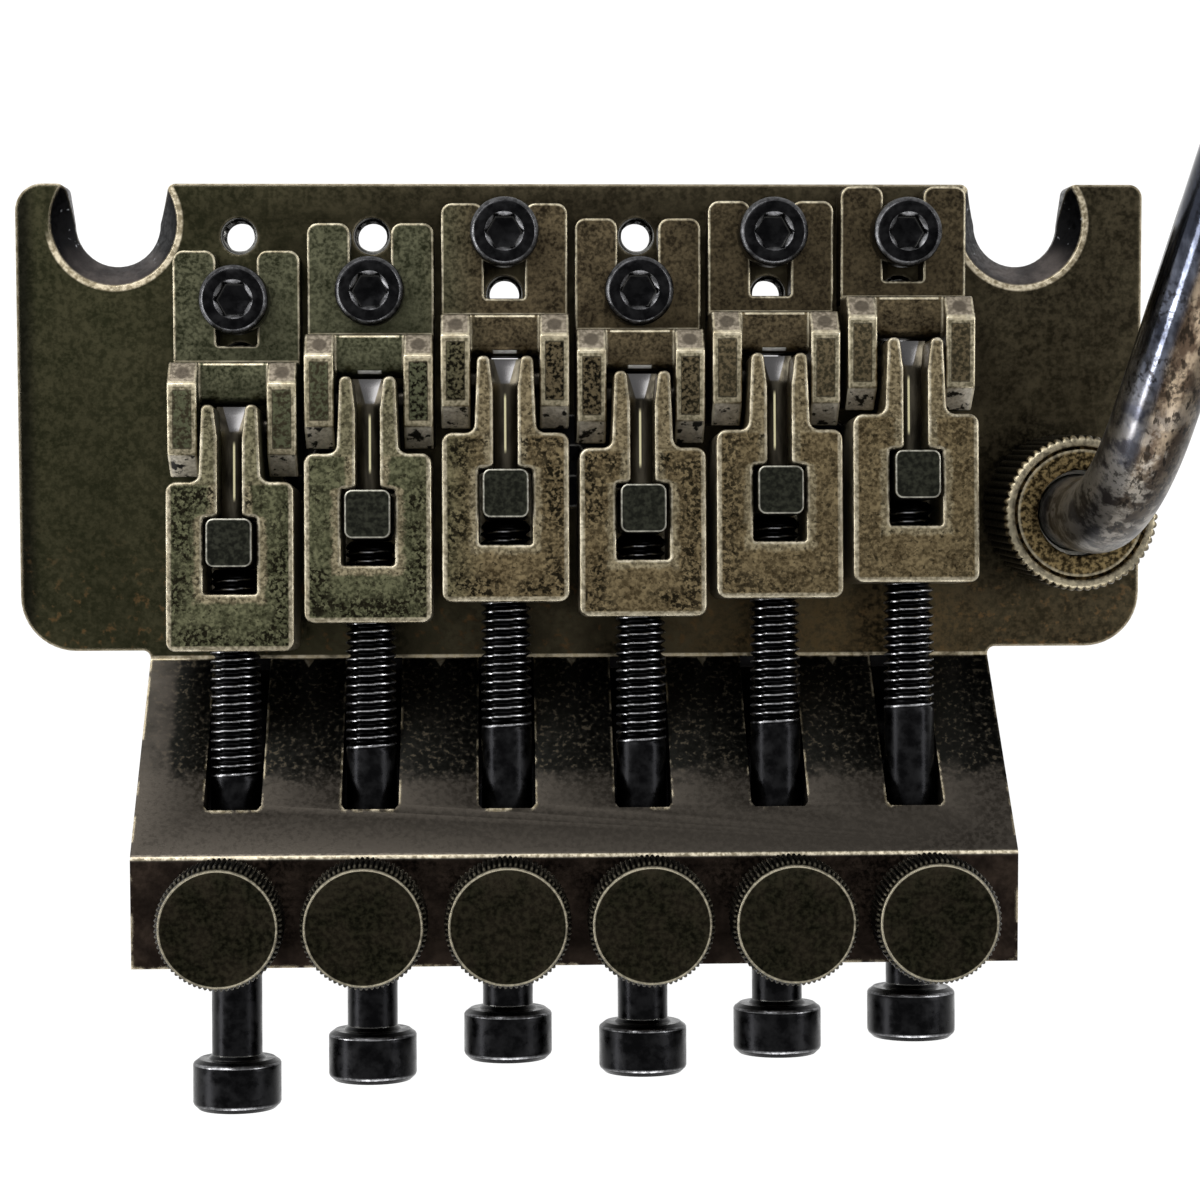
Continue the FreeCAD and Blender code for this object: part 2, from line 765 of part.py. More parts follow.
for string in STRINGS:
    jaw = jaw_frame("saddle_jaw_%d" % string, string)
    drawing = new_sketch(jaw, "XY", "-jaw_drop")
    draw_polygon(
        drawing,
        [
            ("-prong_half", "prong_front"),
            ("-prong_half", "shoulder"),
            ("-jaw_width / 2", "shoulder"),
            ("-jaw_width / 2", "jaw_rear"),
            ("jaw_width / 2", "jaw_rear"),
            ("jaw_width / 2", "shoulder"),
            ("prong_half", "shoulder"),
            ("prong_half", "prong_front"),
        ],
    )
    add_pad(jaw, drawing, "jaw_top + jaw_drop")
    add_edge_feature(
        jaw,
        "Fillet",
        upright_at(
            [(side + "jaw_width / 2", place) for side in ("-", "") for place in ("shoulder", "jaw_rear")]
        ),
        "jaw_round",
    )
    add_edge_feature(
        jaw,
        "Fillet",
        upright_at([(side + "prong_half", "prong_front") for side in ("-", "")]),
        "prong_round",
    )
    add_edge_feature(jaw, "Fillet", level_at("jaw_top"), "jaw_edge")
    drawing = new_sketch(jaw, "XY", "pin_dia / 2 + string_slot_floor")
    draw_polygon(
        drawing,
        [
            ("-string_slot / 2", "window_front - jaw_edge"),
            ("string_slot / 2", "window_front - jaw_edge"),
            ("string_slot / 2", "prong_front - string_slot_flare"),
            ("string_slot_mouth / 2", "prong_front"),
            ("-string_slot_mouth / 2", "prong_front"),
            ("-string_slot / 2", "prong_front - string_slot_flare"),
        ],
    )
    add_pocket(jaw, drawing, "jaw_top", reverse=True)
    drawing = new_sketch(jaw, "XY", "window_floor")
    draw_polygon(
        drawing,
        [
            ("-window_width / 2", "window_rear"),
            ("window_width / 2", "window_rear"),
            ("window_width / 2", "window_front"),
            ("-window_width / 2", "window_front"),
        ],
    )
    add_pocket(jaw, drawing, "jaw_top + jaw_drop", reverse=True)
    drawing = new_sketch(jaw, "XZ", "-window_rear")
    draw_circle(drawing, ("0", "axis_lift"), "lock_screw_dia / 2 + thread_clearance")
    add_pocket(jaw, drawing, "2 * window_wall", reverse=True)
    drawing = new_sketch(jaw, "YZ")
    draw_circle(drawing, ("0", "0"), "pin_dia / 2 + pin_clearance")
    add_pocket(jaw, drawing, THROUGH, symmetric=True)

# The inserts are hard steel blocks in the windows. Each pinches the string against the window's front.
for string in STRINGS:
    insert = jaw_frame("string_insert_%d" % string, string)
    drawing = new_sketch(insert, "XY", "insert_floor")
    draw_polygon(
        drawing,
        [
            ("-insert_half", "insert_rear"),
            ("insert_half", "insert_rear"),
            ("insert_half", "insert_front"),
            ("-insert_half", "insert_front"),
        ],
    )
    add_pad(insert, drawing, "jaw_top + insert_proud - insert_floor")
    add_edge_feature(insert, "Fillet", level_at("jaw_top + insert_proud"), "insert_edge")

# The lock screws run back from the inserts through the jaws' rear walls and the slots of the plate.
for string in STRINGS:
    screw = new_body("lock_screw_%d" % string)
    add_turning(
        screw,
        [
            ("0", "0"),
            ("lock_screw_dia / 2 - screw_edge", "0"),
            ("lock_screw_dia / 2", "screw_edge"),
            ("lock_screw_dia / 2", "lock_screw_length"),
            ("lock_screw_head_dia / 2 - screw_edge / 2", "lock_screw_length"),
            ("lock_screw_head_dia / 2", "lock_screw_length + screw_edge / 2"),
            ("lock_screw_head_dia / 2", "lock_screw_length + lock_screw_head - screw_edge"),
            ("lock_screw_head_dia / 2 - screw_edge", "lock_screw_length + lock_screw_head"),
            ("0", "lock_screw_length + lock_screw_head"),
        ],
    )
    add_hex_socket(
        screw, "lock_screw_socket", "lock_screw_length + lock_screw_head", "lock_screw_head / 2"
    )
    along = "(lock_tip * cos(jaw_tilt) + axis_lift * sin(jaw_tilt))"
    above = "(axis_lift * cos(jaw_tilt) - lock_tip * sin(jaw_tilt))"
    screw.Placement = FreeCAD.Placement(
        FreeCAD.Vector(), FreeCAD.Rotation(FreeCAD.Vector(1, 0, 0), 90 - value("jaw_tilt"))
    )
    screw.setExpression("Placement.Rotation.Angle", linked("(90 - jaw_tilt) * 1 deg"))
    place = (
        string_x(string),
        "%s - pin_setback + %s" % (intonation(string), along),
        "pin_height + " + above,
    )
    for letter, expression in zip("xyz", place):
        screw.setExpression("Placement.Base." + letter, "(%s) * 1 mm" % linked(expression))

# Socket-head screws clamp the forks to the plate, each in one of the three holes under its string.
screws = []
for string in STRINGS:
    screw = new_body(
        "saddle_screw_%d" % string,
        (string_x(string), "-" + row_setback(string, SCREW_ROW[string]), "plate_thick + fork_thick"),
    )
    add_turning(
        screw,
        [
            ("0", "saddle_screw_skin - plate_thick - fork_thick"),
            ("saddle_screw_dia / 2", "saddle_screw_skin - plate_thick - fork_thick"),
            ("saddle_screw_dia / 2", "0"),
            ("saddle_screw_head_dia / 2", "0"),
            ("saddle_screw_head_dia / 2", "saddle_screw_head - screw_edge"),
            ("saddle_screw_head_dia / 2 - screw_edge", "saddle_screw_head"),
            ("0", "saddle_screw_head"),
        ],
    )
    add_hex_socket(screw, "saddle_screw_socket", "saddle_screw_head", "saddle_screw_head / 2")
    screws.append(screw)
group = doc.addObject("Part::Compound", "saddle_screws")
group.Links = screws

# Each fine tuner is a threaded stem in the shelf, with its tip on a lock screw, and a knurled knob on top.
for string in STRINGS:
    stem = new_body("fine_tuner_stem_%d" % string, (string_x(string), "-tuner_setback", "0"))
    touch = "(%s + lock_screw_half + stem_tip_gap)" % screw_line("tuner_setback", string)
    add_turning(
        stem,
        [
            ("0", touch),
            ("stem_dia / 2 - stem_point", touch),
            ("stem_dia / 2", touch + " + stem_point"),
            ("stem_dia / 2", "knob_foot + stem_in_knob - thread_clearance"),
            ("0", "knob_foot + stem_in_knob - thread_clearance"),
        ],
    )
    knob = new_body("fine_tuner_knob_%d" % string, (string_x(string), "-tuner_setback", "knob_foot"))
    add_turning(
        knob,
        [
            ("stem_dia / 2 + thread_clearance", "0"),
            ("knob_dia / 2 - knob_edge", "0"),
            ("knob_dia / 2", "knob_edge"),
            ("knob_dia / 2", "knob_height - knob_edge"),
            ("knob_disc_dia / 2", "knob_height"),
            ("knob_disc_dia / 2", "knob_height + knob_disc_proud"),
            ("0", "knob_height + knob_disc_proud"),
            ("0", "stem_in_knob"),
            ("stem_dia / 2 + thread_clearance", "stem_in_knob"),
        ],
    )

# The leaf spring is a rail under the plate with six fingers that press the lock screws up.
rail = new_body("fine_tuner_spring", ("0", "0", "-leaf_thick"))
drawing = new_sketch(rail, "XY")
draw_polygon(
    drawing,
    [
        ("-outer_string - leaf_width / 2", "-block_front - block_depth - leaf_rail_margin"),
        ("-outer_string - leaf_width / 2", "-rail_rear"),
        ("outer_string + leaf_width / 2", "-rail_rear"),
        ("outer_string + leaf_width / 2", "-block_front - block_depth - leaf_rail_margin"),
    ],
)
add_pad(rail, drawing, "leaf_thick")
drawing = new_sketch(rail, "XY")
for side in LEAF_SCREWS:
    place = ("%d * leaf_screw_reach" % side, "-leaf_screw_setback")
    draw_circle(drawing, place, "leaf_screw_dia / 2 + thread_clearance")
add_pocket(rail, drawing, THROUGH, symmetric=True)

for string in STRINGS:
    finger = new_body("spring_finger_%d" % string, (string_x(string), "-rail_rear", "-leaf_thick"))
    screw_axis = screw_line("leaf_touch_setback", string)
    under = "(%s - lock_screw_half - leaf_gap + leaf_thick)" % screw_axis
    drawing = new_sketch(finger, "YZ")
    draw_polygon(
        drawing,
        [
            ("0", "0"),
            ("0", "leaf_thick"),
            ("-leaf_reach + leaf_contact", under),
            ("-leaf_reach", under + " - leaf_contact * tan(jaw_tilt)"),
            ("-leaf_reach", under + " - leaf_thick - leaf_contact * tan(jaw_tilt)"),
            ("-leaf_reach + leaf_contact", under + " - leaf_thick"),
        ],
    )
    add_pad(finger, drawing, "leaf_width", symmetric=True)

screws = []
for side in LEAF_SCREWS:
    screw = new_body(
        "leaf_screw_%d" % (side + 2),
        ("%d * leaf_screw_reach" % side, "-leaf_screw_setback", "-leaf_thick"),
    )
    add_turning(
        screw,
        [
            ("0", "leaf_thick + plate_thick - leaf_screw_skin"),
            ("leaf_screw_dia / 2", "leaf_thick + plate_thick - leaf_screw_skin"),
            ("leaf_screw_dia / 2", "0"),
            ("leaf_screw_head_dia / 2", "0"),
            ("leaf_screw_head_dia / 2", "-leaf_screw_head / 2"),
            ("leaf_screw_head_dia / 4", "-leaf_screw_head"),
            ("0", "-leaf_screw_head"),
        ],
    )
    screws.append(screw)
group = doc.addObject("Part::Compound", "spring_screws")
group.Links = screws

# The arm's socket stands in the plate on its step, held by a nut from below.
arm_place = ("arm_across", "-arm_setback", "0")
socket = new_body("arm_socket", arm_place)
add_turning(
    socket,
    [
        ("socket_bore", "-socket_drop"),
        ("socket_stem", "-socket_drop"),
        ("socket_stem", "plate_thick"),
        ("socket_thread", "plate_thick"),
        ("socket_thread", "socket_top"),
        ("socket_bore", "socket_top"),
    ],
)
nut = new_body("arm_socket_nut", ("arm_across", "-arm_setback", "-nut_height"))
drawing = new_sketch(nut, "XY")
draw_hexagon(drawing, ("0", "0"), "nut_across", first_turn=30)
draw_circle(drawing, ("0", "0"), "socket_stem + thread_clearance")
add_pad(nut, drawing, "nut_height")

# The knurled collar screws down over the socket and presses a plastic washer onto it.
collar = new_body("arm_collar", arm_place)
add_turning(
    collar,
    [
        ("collar_bore", "collar_foot"),
        ("collar_radius - collar_edge", "collar_foot"),
        ("collar_radius", "collar_foot + collar_edge"),
        ("collar_radius", "collar_top - collar_edge"),
        ("collar_radius - collar_edge", "collar_top"),
        ("collar_radius - collar_rim", "collar_top"),
        ("collar_radius - collar_rim", "collar_top - collar_groove"),
        ("arm_dia / 2 + collar_gap", "collar_top - collar_groove"),
        ("arm_dia / 2 + collar_gap", "collar_ceiling"),
        ("collar_bore", "collar_ceiling"),
    ],
)
washer = new_body("arm_washer", arm_place)
add_turning(
    washer,
    [
        ("socket_bore", "socket_top + washer_play"),
        ("socket_thread", "socket_top + washer_play"),
        ("socket_thread", "collar_ceiling - washer_play"),
        ("socket_bore", "collar_ceiling - washer_play"),
    ],
)

# The arm is one bent rod: upright in the socket, a long rise to the front, then a flatter grip.
arm = new_body("tremolo_arm", arm_place, FreeCAD.Vector(0, 0, 1), "-arm_heading")
stand_top = "(collar_top + arm_stand)"
first_out = "(arm_bend * (1 - sin(arm_rise_angle)))"
first_up = "(%s + arm_bend * cos(arm_rise_angle))" % stand_top
second_out = "(%s + arm_straight * cos(arm_rise_angle))" % first_out
second_up = "(%s + arm_straight * sin(arm_rise_angle))" % first_up
third_out = "(%s + arm_second_bend * (sin(arm_rise_angle) - sin(arm_tip_angle)))" % second_out
third_up = "(%s + arm_second_bend * (cos(arm_tip_angle) - cos(arm_rise_angle)))" % second_up
tip_out = "(%s + arm_grip * cos(arm_tip_angle))" % third_out
tip_up = "(%s + arm_grip * sin(arm_tip_angle))" % third_up
route = [
    ("0", "-arm_foot"),
    ("0", stand_top),
    (first_out, first_up),
    (second_out, second_up),
    (third_out, third_up),
    (tip_out, tip_up),
]


def spot(place):
    """A point of a sketch from two expressions."""
    return FreeCAD.Vector(value(place[0]), value(place[1]), 0)


def draw_bend(sketch, start, end, centre, radius):
    """An arc of the rod's route between two points, both ends and its radius tied to the sheet."""
    middle = spot(centre)
    outward = (spot(start) - middle) + (spot(end) - middle)
    through = middle + outward.normalize() * value(radius)
    arc = sketch.addGeometry(Part.Arc(spot(start), through, spot(end)), False)
    for point in (1, 2):
        here = sketch.getPoint(arc, point)
        tie(sketch, arc, point, min(start, end, key=lambda place: here.distanceToPoint(spot(place))))
    index = sketch.addConstraint(Sketcher.Constraint("Radius", arc, value(radius)))
    sketch.setExpression("Constraints[%d]" % index, linked(radius))


first_centre = ("arm_bend", stand_top)
second_centre = (
    "(%s + arm_second_bend * sin(arm_rise_angle))" % second_out,
    "(%s - arm_second_bend * cos(arm_rise_angle))" % second_up,
)
spine = new_sketch(arm, "YZ")
for start, end in ((0, 1), (2, 3), (4, 5)):
    line = spine.addGeometry(Part.LineSegment(spot(route[start]), spot(route[end])), False)
    tie(spine, line, 1, route[start])
    tie(spine, line, 2, route[end])
draw_bend(spine, route[1], route[2], first_centre, "arm_bend")
draw_bend(spine, route[3], route[4], second_centre, "arm_second_bend")
section = new_sketch(arm, "XY", "-arm_foot")
draw_circle(section, ("0", "0"), "arm_dia / 2")
doc.recompute()
rod = arm.newObject("PartDesign::AdditivePipe", "arm_rod")
rod.Profile = section
rod.Spine = (spine, ["Edge%d" % edge for edge in range(1, spine.GeometryCount + 1)])
doc.recompute()


def at_arm_tip(edge):
    """A test for the rim at the free end of the arm."""
    return edge.CenterOfMass.distanceToPoint(FreeCAD.Vector(0, value(tip_out), value(tip_up))) < SAME_PLACE


add_edge_feature(arm, "Fillet", at_arm_tip, "arm_tip_round")


def stands_alone(item):
    """Whether an object is a piece of its own and not one screw of a group."""
    grouped = [user for user in item.InList if user.TypeId == "Part::Compound"]
    return item.TypeId == "Part::Compound" or (item.TypeId == "PartDesign::Body" and not grouped)


for item in doc.Objects:
    if "Invalid" in item.State or "Error" in item.State:
        raise RuntimeError("failed: " + item.Name)
os.makedirs("parts", exist_ok=True)
for item in filter(stands_alone, doc.Objects):
    if item.Shape.isNull() or not item.Shape.isValid():
        raise RuntimeError("no valid shape: " + item.Label)
    item.Shape.exportStep("parts/%s.step" % item.Label)
    print(item.Label, round(item.Shape.Volume, 2), item.Shape.BoundBox)
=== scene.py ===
import math

import bmesh
import bpy
import numpy as np
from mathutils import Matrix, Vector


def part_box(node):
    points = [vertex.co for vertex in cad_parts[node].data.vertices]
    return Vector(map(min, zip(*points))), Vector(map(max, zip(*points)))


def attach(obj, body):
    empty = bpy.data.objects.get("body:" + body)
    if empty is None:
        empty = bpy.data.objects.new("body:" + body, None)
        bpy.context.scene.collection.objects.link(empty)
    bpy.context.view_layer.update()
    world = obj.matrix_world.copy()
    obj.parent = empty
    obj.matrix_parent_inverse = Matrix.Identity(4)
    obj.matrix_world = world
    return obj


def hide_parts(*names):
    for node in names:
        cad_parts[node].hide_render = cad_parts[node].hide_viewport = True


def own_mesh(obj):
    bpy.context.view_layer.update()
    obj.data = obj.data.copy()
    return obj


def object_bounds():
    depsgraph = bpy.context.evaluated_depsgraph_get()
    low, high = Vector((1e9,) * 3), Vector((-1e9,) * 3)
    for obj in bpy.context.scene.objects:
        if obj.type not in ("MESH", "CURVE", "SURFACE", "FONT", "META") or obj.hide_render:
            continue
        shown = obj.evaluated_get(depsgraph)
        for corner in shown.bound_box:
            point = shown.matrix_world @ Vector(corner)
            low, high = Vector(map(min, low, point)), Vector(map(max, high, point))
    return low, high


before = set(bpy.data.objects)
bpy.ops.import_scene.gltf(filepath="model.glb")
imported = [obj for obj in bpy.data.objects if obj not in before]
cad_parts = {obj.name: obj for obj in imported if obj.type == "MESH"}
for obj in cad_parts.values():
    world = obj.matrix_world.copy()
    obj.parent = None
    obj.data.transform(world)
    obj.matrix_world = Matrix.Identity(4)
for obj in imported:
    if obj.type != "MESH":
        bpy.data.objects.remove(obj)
cad_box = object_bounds()

# Base plate: one steel sheet, stamped, bent up at the rear and plated black nickel.
# The plating is aged brown, black where the wall rises, and rubbed to bright metal along its edges.
# The black low on the wall is a painted dark reflection of the jaws in front of it, with painted
# reflections of the gaps between them; painted highlights run along the bend and the ridge, and
# the notch bevels carry painted light, shade and glints.
# It carries every other piece and pivots on two studs in its front notches.


def tone(red, green, blue):
    """A colour given in 0 to 255 screen steps, as the linear colour that a shader takes."""
    steps = np.array([red, green, blue]) / 255.0
    linear = np.where(steps <= 0.04045, steps / 12.92, ((steps + 0.055) / 1.055) ** 2.4)
    return (*linear.tolist(), 1.0)


def add_node(tree, kind, inputs=None, **settings):
    """A shader node. Each input takes a plain value, an amount or the output of another node."""
    made = tree.nodes.new("ShaderNode" + kind)
    for setting, choice in settings.items():
        setattr(made, setting, choice)
    for name, given in (inputs or {}).items():
        put(made.inputs[name], given)
    return made


def put(socket, given):
    """Sets a socket to a plain value, or links it to an amount or to the output of a node."""
    given = given.socket if isinstance(given, Amount) else given
    if isinstance(given, bpy.types.NodeSocket):
        socket.id_data.links.new(given, socket)
    else:
        socket.default_value = given


class Amount:
    """A number inside a finish, so that wear and colour can be written as sums and products."""

    def __init__(self, socket):
        self.socket = socket

    def made_by(self, kind, inputs, **settings):
        """The number that a node makes of this one."""
        return Amount(add_node(self.socket.id_data, kind, inputs, **settings).outputs[0])

    def math(self, operation, *others):
        """The number that a plain operation makes of this one and others."""
        return self.made_by("Math", dict(enumerate([self, *others])), operation=operation)

    def __add__(self, other):
        return self.math("ADD", other)

    def __sub__(self, other):
        return self.math("SUBTRACT", other)

    def __rsub__(self, other):
        return self.math("MULTIPLY_ADD", -1.0, other)

    def __mul__(self, other):
        return self.math("MULTIPLY", other)

    def __abs__(self):
        return self.math("ABSOLUTE")

    def most(self, other):
        """The larger of two numbers."""
        return self.math("MAXIMUM", other)

    def least(self, other):
        """The smaller of two numbers."""
        return self.math("MINIMUM", other)

    def step(self, low, high):
        """A smooth step: 0 below low and 1 above high, or the reverse where low is the larger."""
        inputs = {"Value": self, "From Min": low, "From Max": high}
        return self.made_by("MapRange", inputs, interpolation_type="SMOOTHSTEP")

    def span(self, low, high):
        """An amount from 0 to 1, carried over to the span from low to high."""
        return self.made_by("MapRange", {"Value": self, "To Min": low, "To Max": high})

    def band(self, middle, half, soft):
        """A band: 1 where the number is within half of the middle, fading to 0 over soft."""
        return abs(self - middle).step(half + soft, half)


class Finish:
    """A finish in the making, on the object's own coordinates. Its colour is laid on in layers,
    each over the ones before it. A colour is given as a tone or as a mix of two."""

    def __init__(self, name, metallic=1.0):
        self.material = bpy.data.materials.new(name)
        self.material.use_nodes = True
        self.tree = self.material.node_tree
        self.shader = self.tree.nodes["Principled BSDF"]
        self.shader.inputs["Metallic"].default_value = metallic
        self.place = self.node("TexCoord").outputs["Object"]
        self.colour = None

    def node(self, kind, inputs=None, **settings):
        """A node of this finish."""
        return add_node(self.tree, kind, inputs, **settings)

    def part(self, vector, axis):
        """One of the three numbers of a vector."""
        return Amount(self.node("SeparateXYZ", {0: vector}).outputs[axis])

    def along(self, axis):
        """The place along an axis of the object, in millimetres."""
        return self.part(self.place, axis) * 1000.0

    def stretched(self, *scale):
        """The object's coordinates, scaled by axis, for marks that run one way."""
        return self.node("Mapping", {"Vector": self.place, "Scale": scale}).outputs[0]

    def noise(self, size, place, **inputs):
        """A noise with patches of about a size in millimetres."""
        inputs |= {"Vector": place or self.place, "Scale": 1000.0 / size}
        return self.node("TexNoise", inputs).outputs[0]

    def cloudy(self, size, low, high, detail=5.0, place=None):
        """Soft patches: a noise, stepped between two levels."""
        return Amount(self.noise(size, place, Detail=detail, Roughness=0.6)).step(low, high)

    def field(self, name):
        """A number that a piece's points carry."""
        return Amount(self.node("Attribute", attribute_name=name).outputs["Fac"])

    def facing(self, axis, low, high):
        """How far a face looks along an axis, stepped between two values of its normal."""
        return self.part(self.node("NewGeometry").outputs["Normal"], axis).step(low, high)

    def near_edge(self, width, full, none, breakup):
        """Wear along edges: how far a normal rounded over a width in millimetres turns from the
        true one. Their cosine falls from 1 on a flat face to 0.7 on a square edge, and breakup
        frays it."""
        rounded_over = self.node("Bevel", {"Radius": width / 1000.0}, samples=6).outputs[0]
        plain = self.node("NewGeometry").outputs["Normal"]
        likeness = self.node("VectorMath", {0: rounded_over, 1: plain}, operation="DOT_PRODUCT")
        return breakup.math("MULTIPLY_ADD", 0.05, likeness.outputs["Value"]).step(none, full)

    def mix(self, amount, under, over):
        """A colour over another one, by an amount from 0 to 1."""
        under, over = (tone(*c) if isinstance(c, tuple) else c for c in (under, over))
        return self.node("Mix", {0: amount, 6: under, 7: over}, data_type="RGBA").outputs[2]

    def ground(self, amount, under, over):
        """The first layer, a mix of two colours."""
        self.colour = self.mix(amount, under, over)

    def cover(self, amount, over):
        """One more layer over all before it."""
        self.colour = self.mix(amount, self.colour, over)

    def close(self, roughness, grain=None, place=None):
        """Hands the colour and the roughness to the shader, with a grain: a bump from a noise of a
        size in millimetres, by a strength and a depth in millimetres."""
        put(self.shader.inputs["Base Color"], self.colour)
        put(self.shader.inputs["Roughness"], roughness)
        if grain:
            size, strength, depth = grain
            inputs = {"Height": self.noise(size, place, Detail=4.0)}
            inputs |= {"Strength": strength, "Distance": depth / 1000.0}
            put(self.shader.inputs["Normal"], self.node("Bump", inputs).outputs[0])


def dress(piece, finish, body, slot, *nodes):
    """Gives a piece its finish, its body and the solids it stands for. Its slot is not used."""
    piece.data.materials.clear()
    piece.data.materials.append(finish.material)
    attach(piece, body)
    if nodes:
        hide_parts(*nodes)


def placed(name, data):
    """An object in the scene, for a mesh, a lamp or a camera."""
    made = bpy.data.objects.new(name, data)
    bpy.context.scene.collection.objects.link(made)
    return made


def merged_copy(node, name, round_edge):
    """A copy of a solid's mesh, its triangles merged into flat faces, with sharp edges rounded."""
    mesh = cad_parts[node].data.copy()
    mesh.name = name
    work = bmesh.new()
    work.from_mesh(mesh)
    bmesh.ops.remove_doubles(work, verts=work.verts, dist=2e-6)
    bmesh.ops.dissolve_limit(
        work, angle_limit=math.radians(0.5), verts=work.verts, edges=work.edges
    )
    work.to_mesh(mesh)
    work.free()
    mesh.shade_smooth()
    piece = placed(name, mesh)
    edge = piece.modifiers.new("rounded_edges", "BEVEL")
    edge.width = round_edge / 1000.0
    edge.segments = 3
    edge.limit_method = "ANGLE"
    edge.angle_limit = math.radians(32)
    edge.harden_normals = True
    return piece


PLATE_TOP, BEND, RIDGE, NOTCH_REACH, BEVEL_RADIUS, STRING_GAP = 3.0, -35.7, -50.0, 37.15, 5.2, 10.8
plate = merged_copy("base_plate", "plate_bent_sheet", 0.14)
coat = Finish("aged_black_nickel_plate")
x, y, z = (coat.along(axis) for axis in range(3))
mottled = coat.cloudy(2.4, 0.36, 0.66)
fine = coat.cloudy(0.4, 0.36, 0.66)
coat.ground(mottled, (30, 27, 19), (45, 41, 30))
coat.cover(fine * 0.3, (68, 61, 47))
coat.cover(x.step(0.0, -40.0) * 0.4, (36, 41, 24))
coat.cover(x.step(-43.2, -44.6) * 0.8, (11, 11, 9))
rust = coat.cloudy(0.8, 0.56, 0.68) * y.step(-24.0, -33.0)
coat.cover(rust * 0.45, (88, 64, 38))
golden = y.step(-27.0, -33.0) * x.step(0.0, 22.0) * fine.span(0.2, 0.9)
golden = golden * x.step(28.0, 36.0).span(1.0, 0.25)
coat.cover(golden * 0.75, (84, 69, 45))
# Low on the rising wall, near the bend, the colour is a painted dark reflection of the jaws in
# front of it, speckled and half as strong at the bass end; higher up the wall is plain grey-brown.
wall_dark_reflection = z.step(13.6, 10.0) - coat.cloudy(1.6, 0.3, 0.7) * 0.4
wall_dark_reflection = wall_dark_reflection * x.step(-32.6, -31.6).span(0.5, 1.0)
speck = coat.cloudy(0.4, 0.54, 0.66) * 0.55
blackened = coat.mix(speck, (21, 21, 19), (78, 71, 59))
wall = coat.mix(wall_dark_reflection.step(0.1, 0.75), (57, 53, 48), blackened)
coat.cover(y.step(BEND + 0.1, BEND - 0.2), wall)
shelf = coat.mix(mottled, (23, 18, 15), (39, 32, 27))
coat.cover(y.step(RIDGE - 0.15, RIDGE - 0.4), shelf)
off_notch = abs(x) - NOTCH_REACH
from_notch = (off_notch * off_notch + y * y).math("SQRT")
# Notch bevels: painted light and shade. Where a bevel faces +Y it is painted lit; where it faces
# sideways it is painted shade, near black with painted glints.
painted_glints = coat.cloudy(0.7, 0.66, 0.72) * 0.7
bevel_painted_shade = coat.mix(painted_glints, (9, 9, 10), (170, 172, 178))
bevel_painted_lit = coat.mix(mottled, (50, 46, 45), (80, 74, 71))
bevel = coat.mix(coat.facing(1, 0.3, 0.72), bevel_painted_shade, bevel_painted_lit)
coat.cover(from_notch.step(BEVEL_RADIUS + 0.05, BEVEL_RADIUS), bevel)
notch_rim = from_notch.band(BEVEL_RADIUS + 0.16, 0.14, 0.2)
notch_rim = notch_rim * x.step(-42.0, -40.0).most(y.step(-0.6, -2.4))
# A painted highlight along the bend, and painted reflections of the gaps between the jaws on the
# wall just behind it. With the worn rims of the notches they are laid over the plate's edge wear.
bend_highlight = y.band(BEND + 0.1, 0.09, 0.14) * coat.cloudy(3.0, 0.3, 0.55)
gap_reflection_half = y.step(BEND - 0.9, BEND) * 0.5
gap_reflection = (gap_reflection_half - x.math("PINGPONG", STRING_GAP / 2.0)).step(0.0, 0.2)
gap_reflection = gap_reflection * y.step(BEND + 0.1, BEND) * x.band(0.0, 24.0, 1.0)
rubbed = notch_rim.most(bend_highlight.most(gap_reflection * 0.7))
kept_dark = y.step(BEND - 0.3, BEND - 0.6) * coat.cloudy(2.6, 0.56, 0.46)
at_holes = x.band(0.0, 31.0, 0.5) * y.band(-5.6, 6.2, 0.4)
edges = coat.near_edge(0.5, 0.9, 0.988, fine) - y.band(RIDGE, 1.0, 0.15) - kept_dark
edges = edges - at_holes * mottled.span(0.95, 0.6)
bright = coat.mix(fine, (138, 127, 103), (186, 176, 154))
coat.cover(edges.most(rubbed * 0.9), bright)
# A painted highlight along the ridge.
ridge_highlight = y.band(RIDGE - 0.08, 0.05, 0.14) * mottled.span(0.7, 1.0)
coat.cover(ridge_highlight, coat.mix(fine, (138, 129, 108), (206, 197, 176)))
coat.close(fine.span(0.3, 0.55), (0.35, 0.22, 0.03))
dress(plate, coat, "base", "plate", "base_plate")

# Sustain block: a milled bar of plain steel under the plate, with five holes for counter springs.
# Three countersunk screws hold it from above, their heads flush with the plate under the jaws.
block = merged_copy("sustain_block", "sustain_block_bar", 0.5)
coat = Finish("milled_steel_block")
milled_way = coat.stretched(0.06, 1.0, 1.0)
strokes = coat.cloudy(0.5, 0.3, 0.7, place=milled_way)
coat.ground(strokes, (118, 115, 108), (152, 149, 141))
coat.cover(coat.cloudy(9.0, 0.45, 0.75) * 0.5, (92, 86, 74))
coat.cover(coat.near_edge(0.8, 0.84, 0.98, strokes), (196, 192, 182))
coat.close(strokes.step(-1.0, 2.4), (0.3, 0.25, 0.02), milled_way)
dress(block, coat, "base", "block", "sustain_block")


def shell(points, loop=False):
    """Faces over a grid of rings: every ring is closed, neighbours are joined by quads, and the two
    end rings are closed by a face each, or joined to one another where the profile is a loop."""
    rings, sides = points.shape[:2]
    index = np.arange(rings * sides).reshape(rings, sides)
    lower = index if loop else index[:-1]
    upper = np.roll(index, -1, axis=0) if loop else index[1:]
    corners = [lower, np.roll(lower, -1, axis=1), np.roll(upper, -1, axis=1), upper]
    quads = np.stack(corners, axis=-1).reshape(-1, 4)
    ends = [] if loop else [index[0, ::-1].tolist(), index[-1].tolist()]
    return points.reshape(-1, points.shape[2]), quads.tolist() + ends


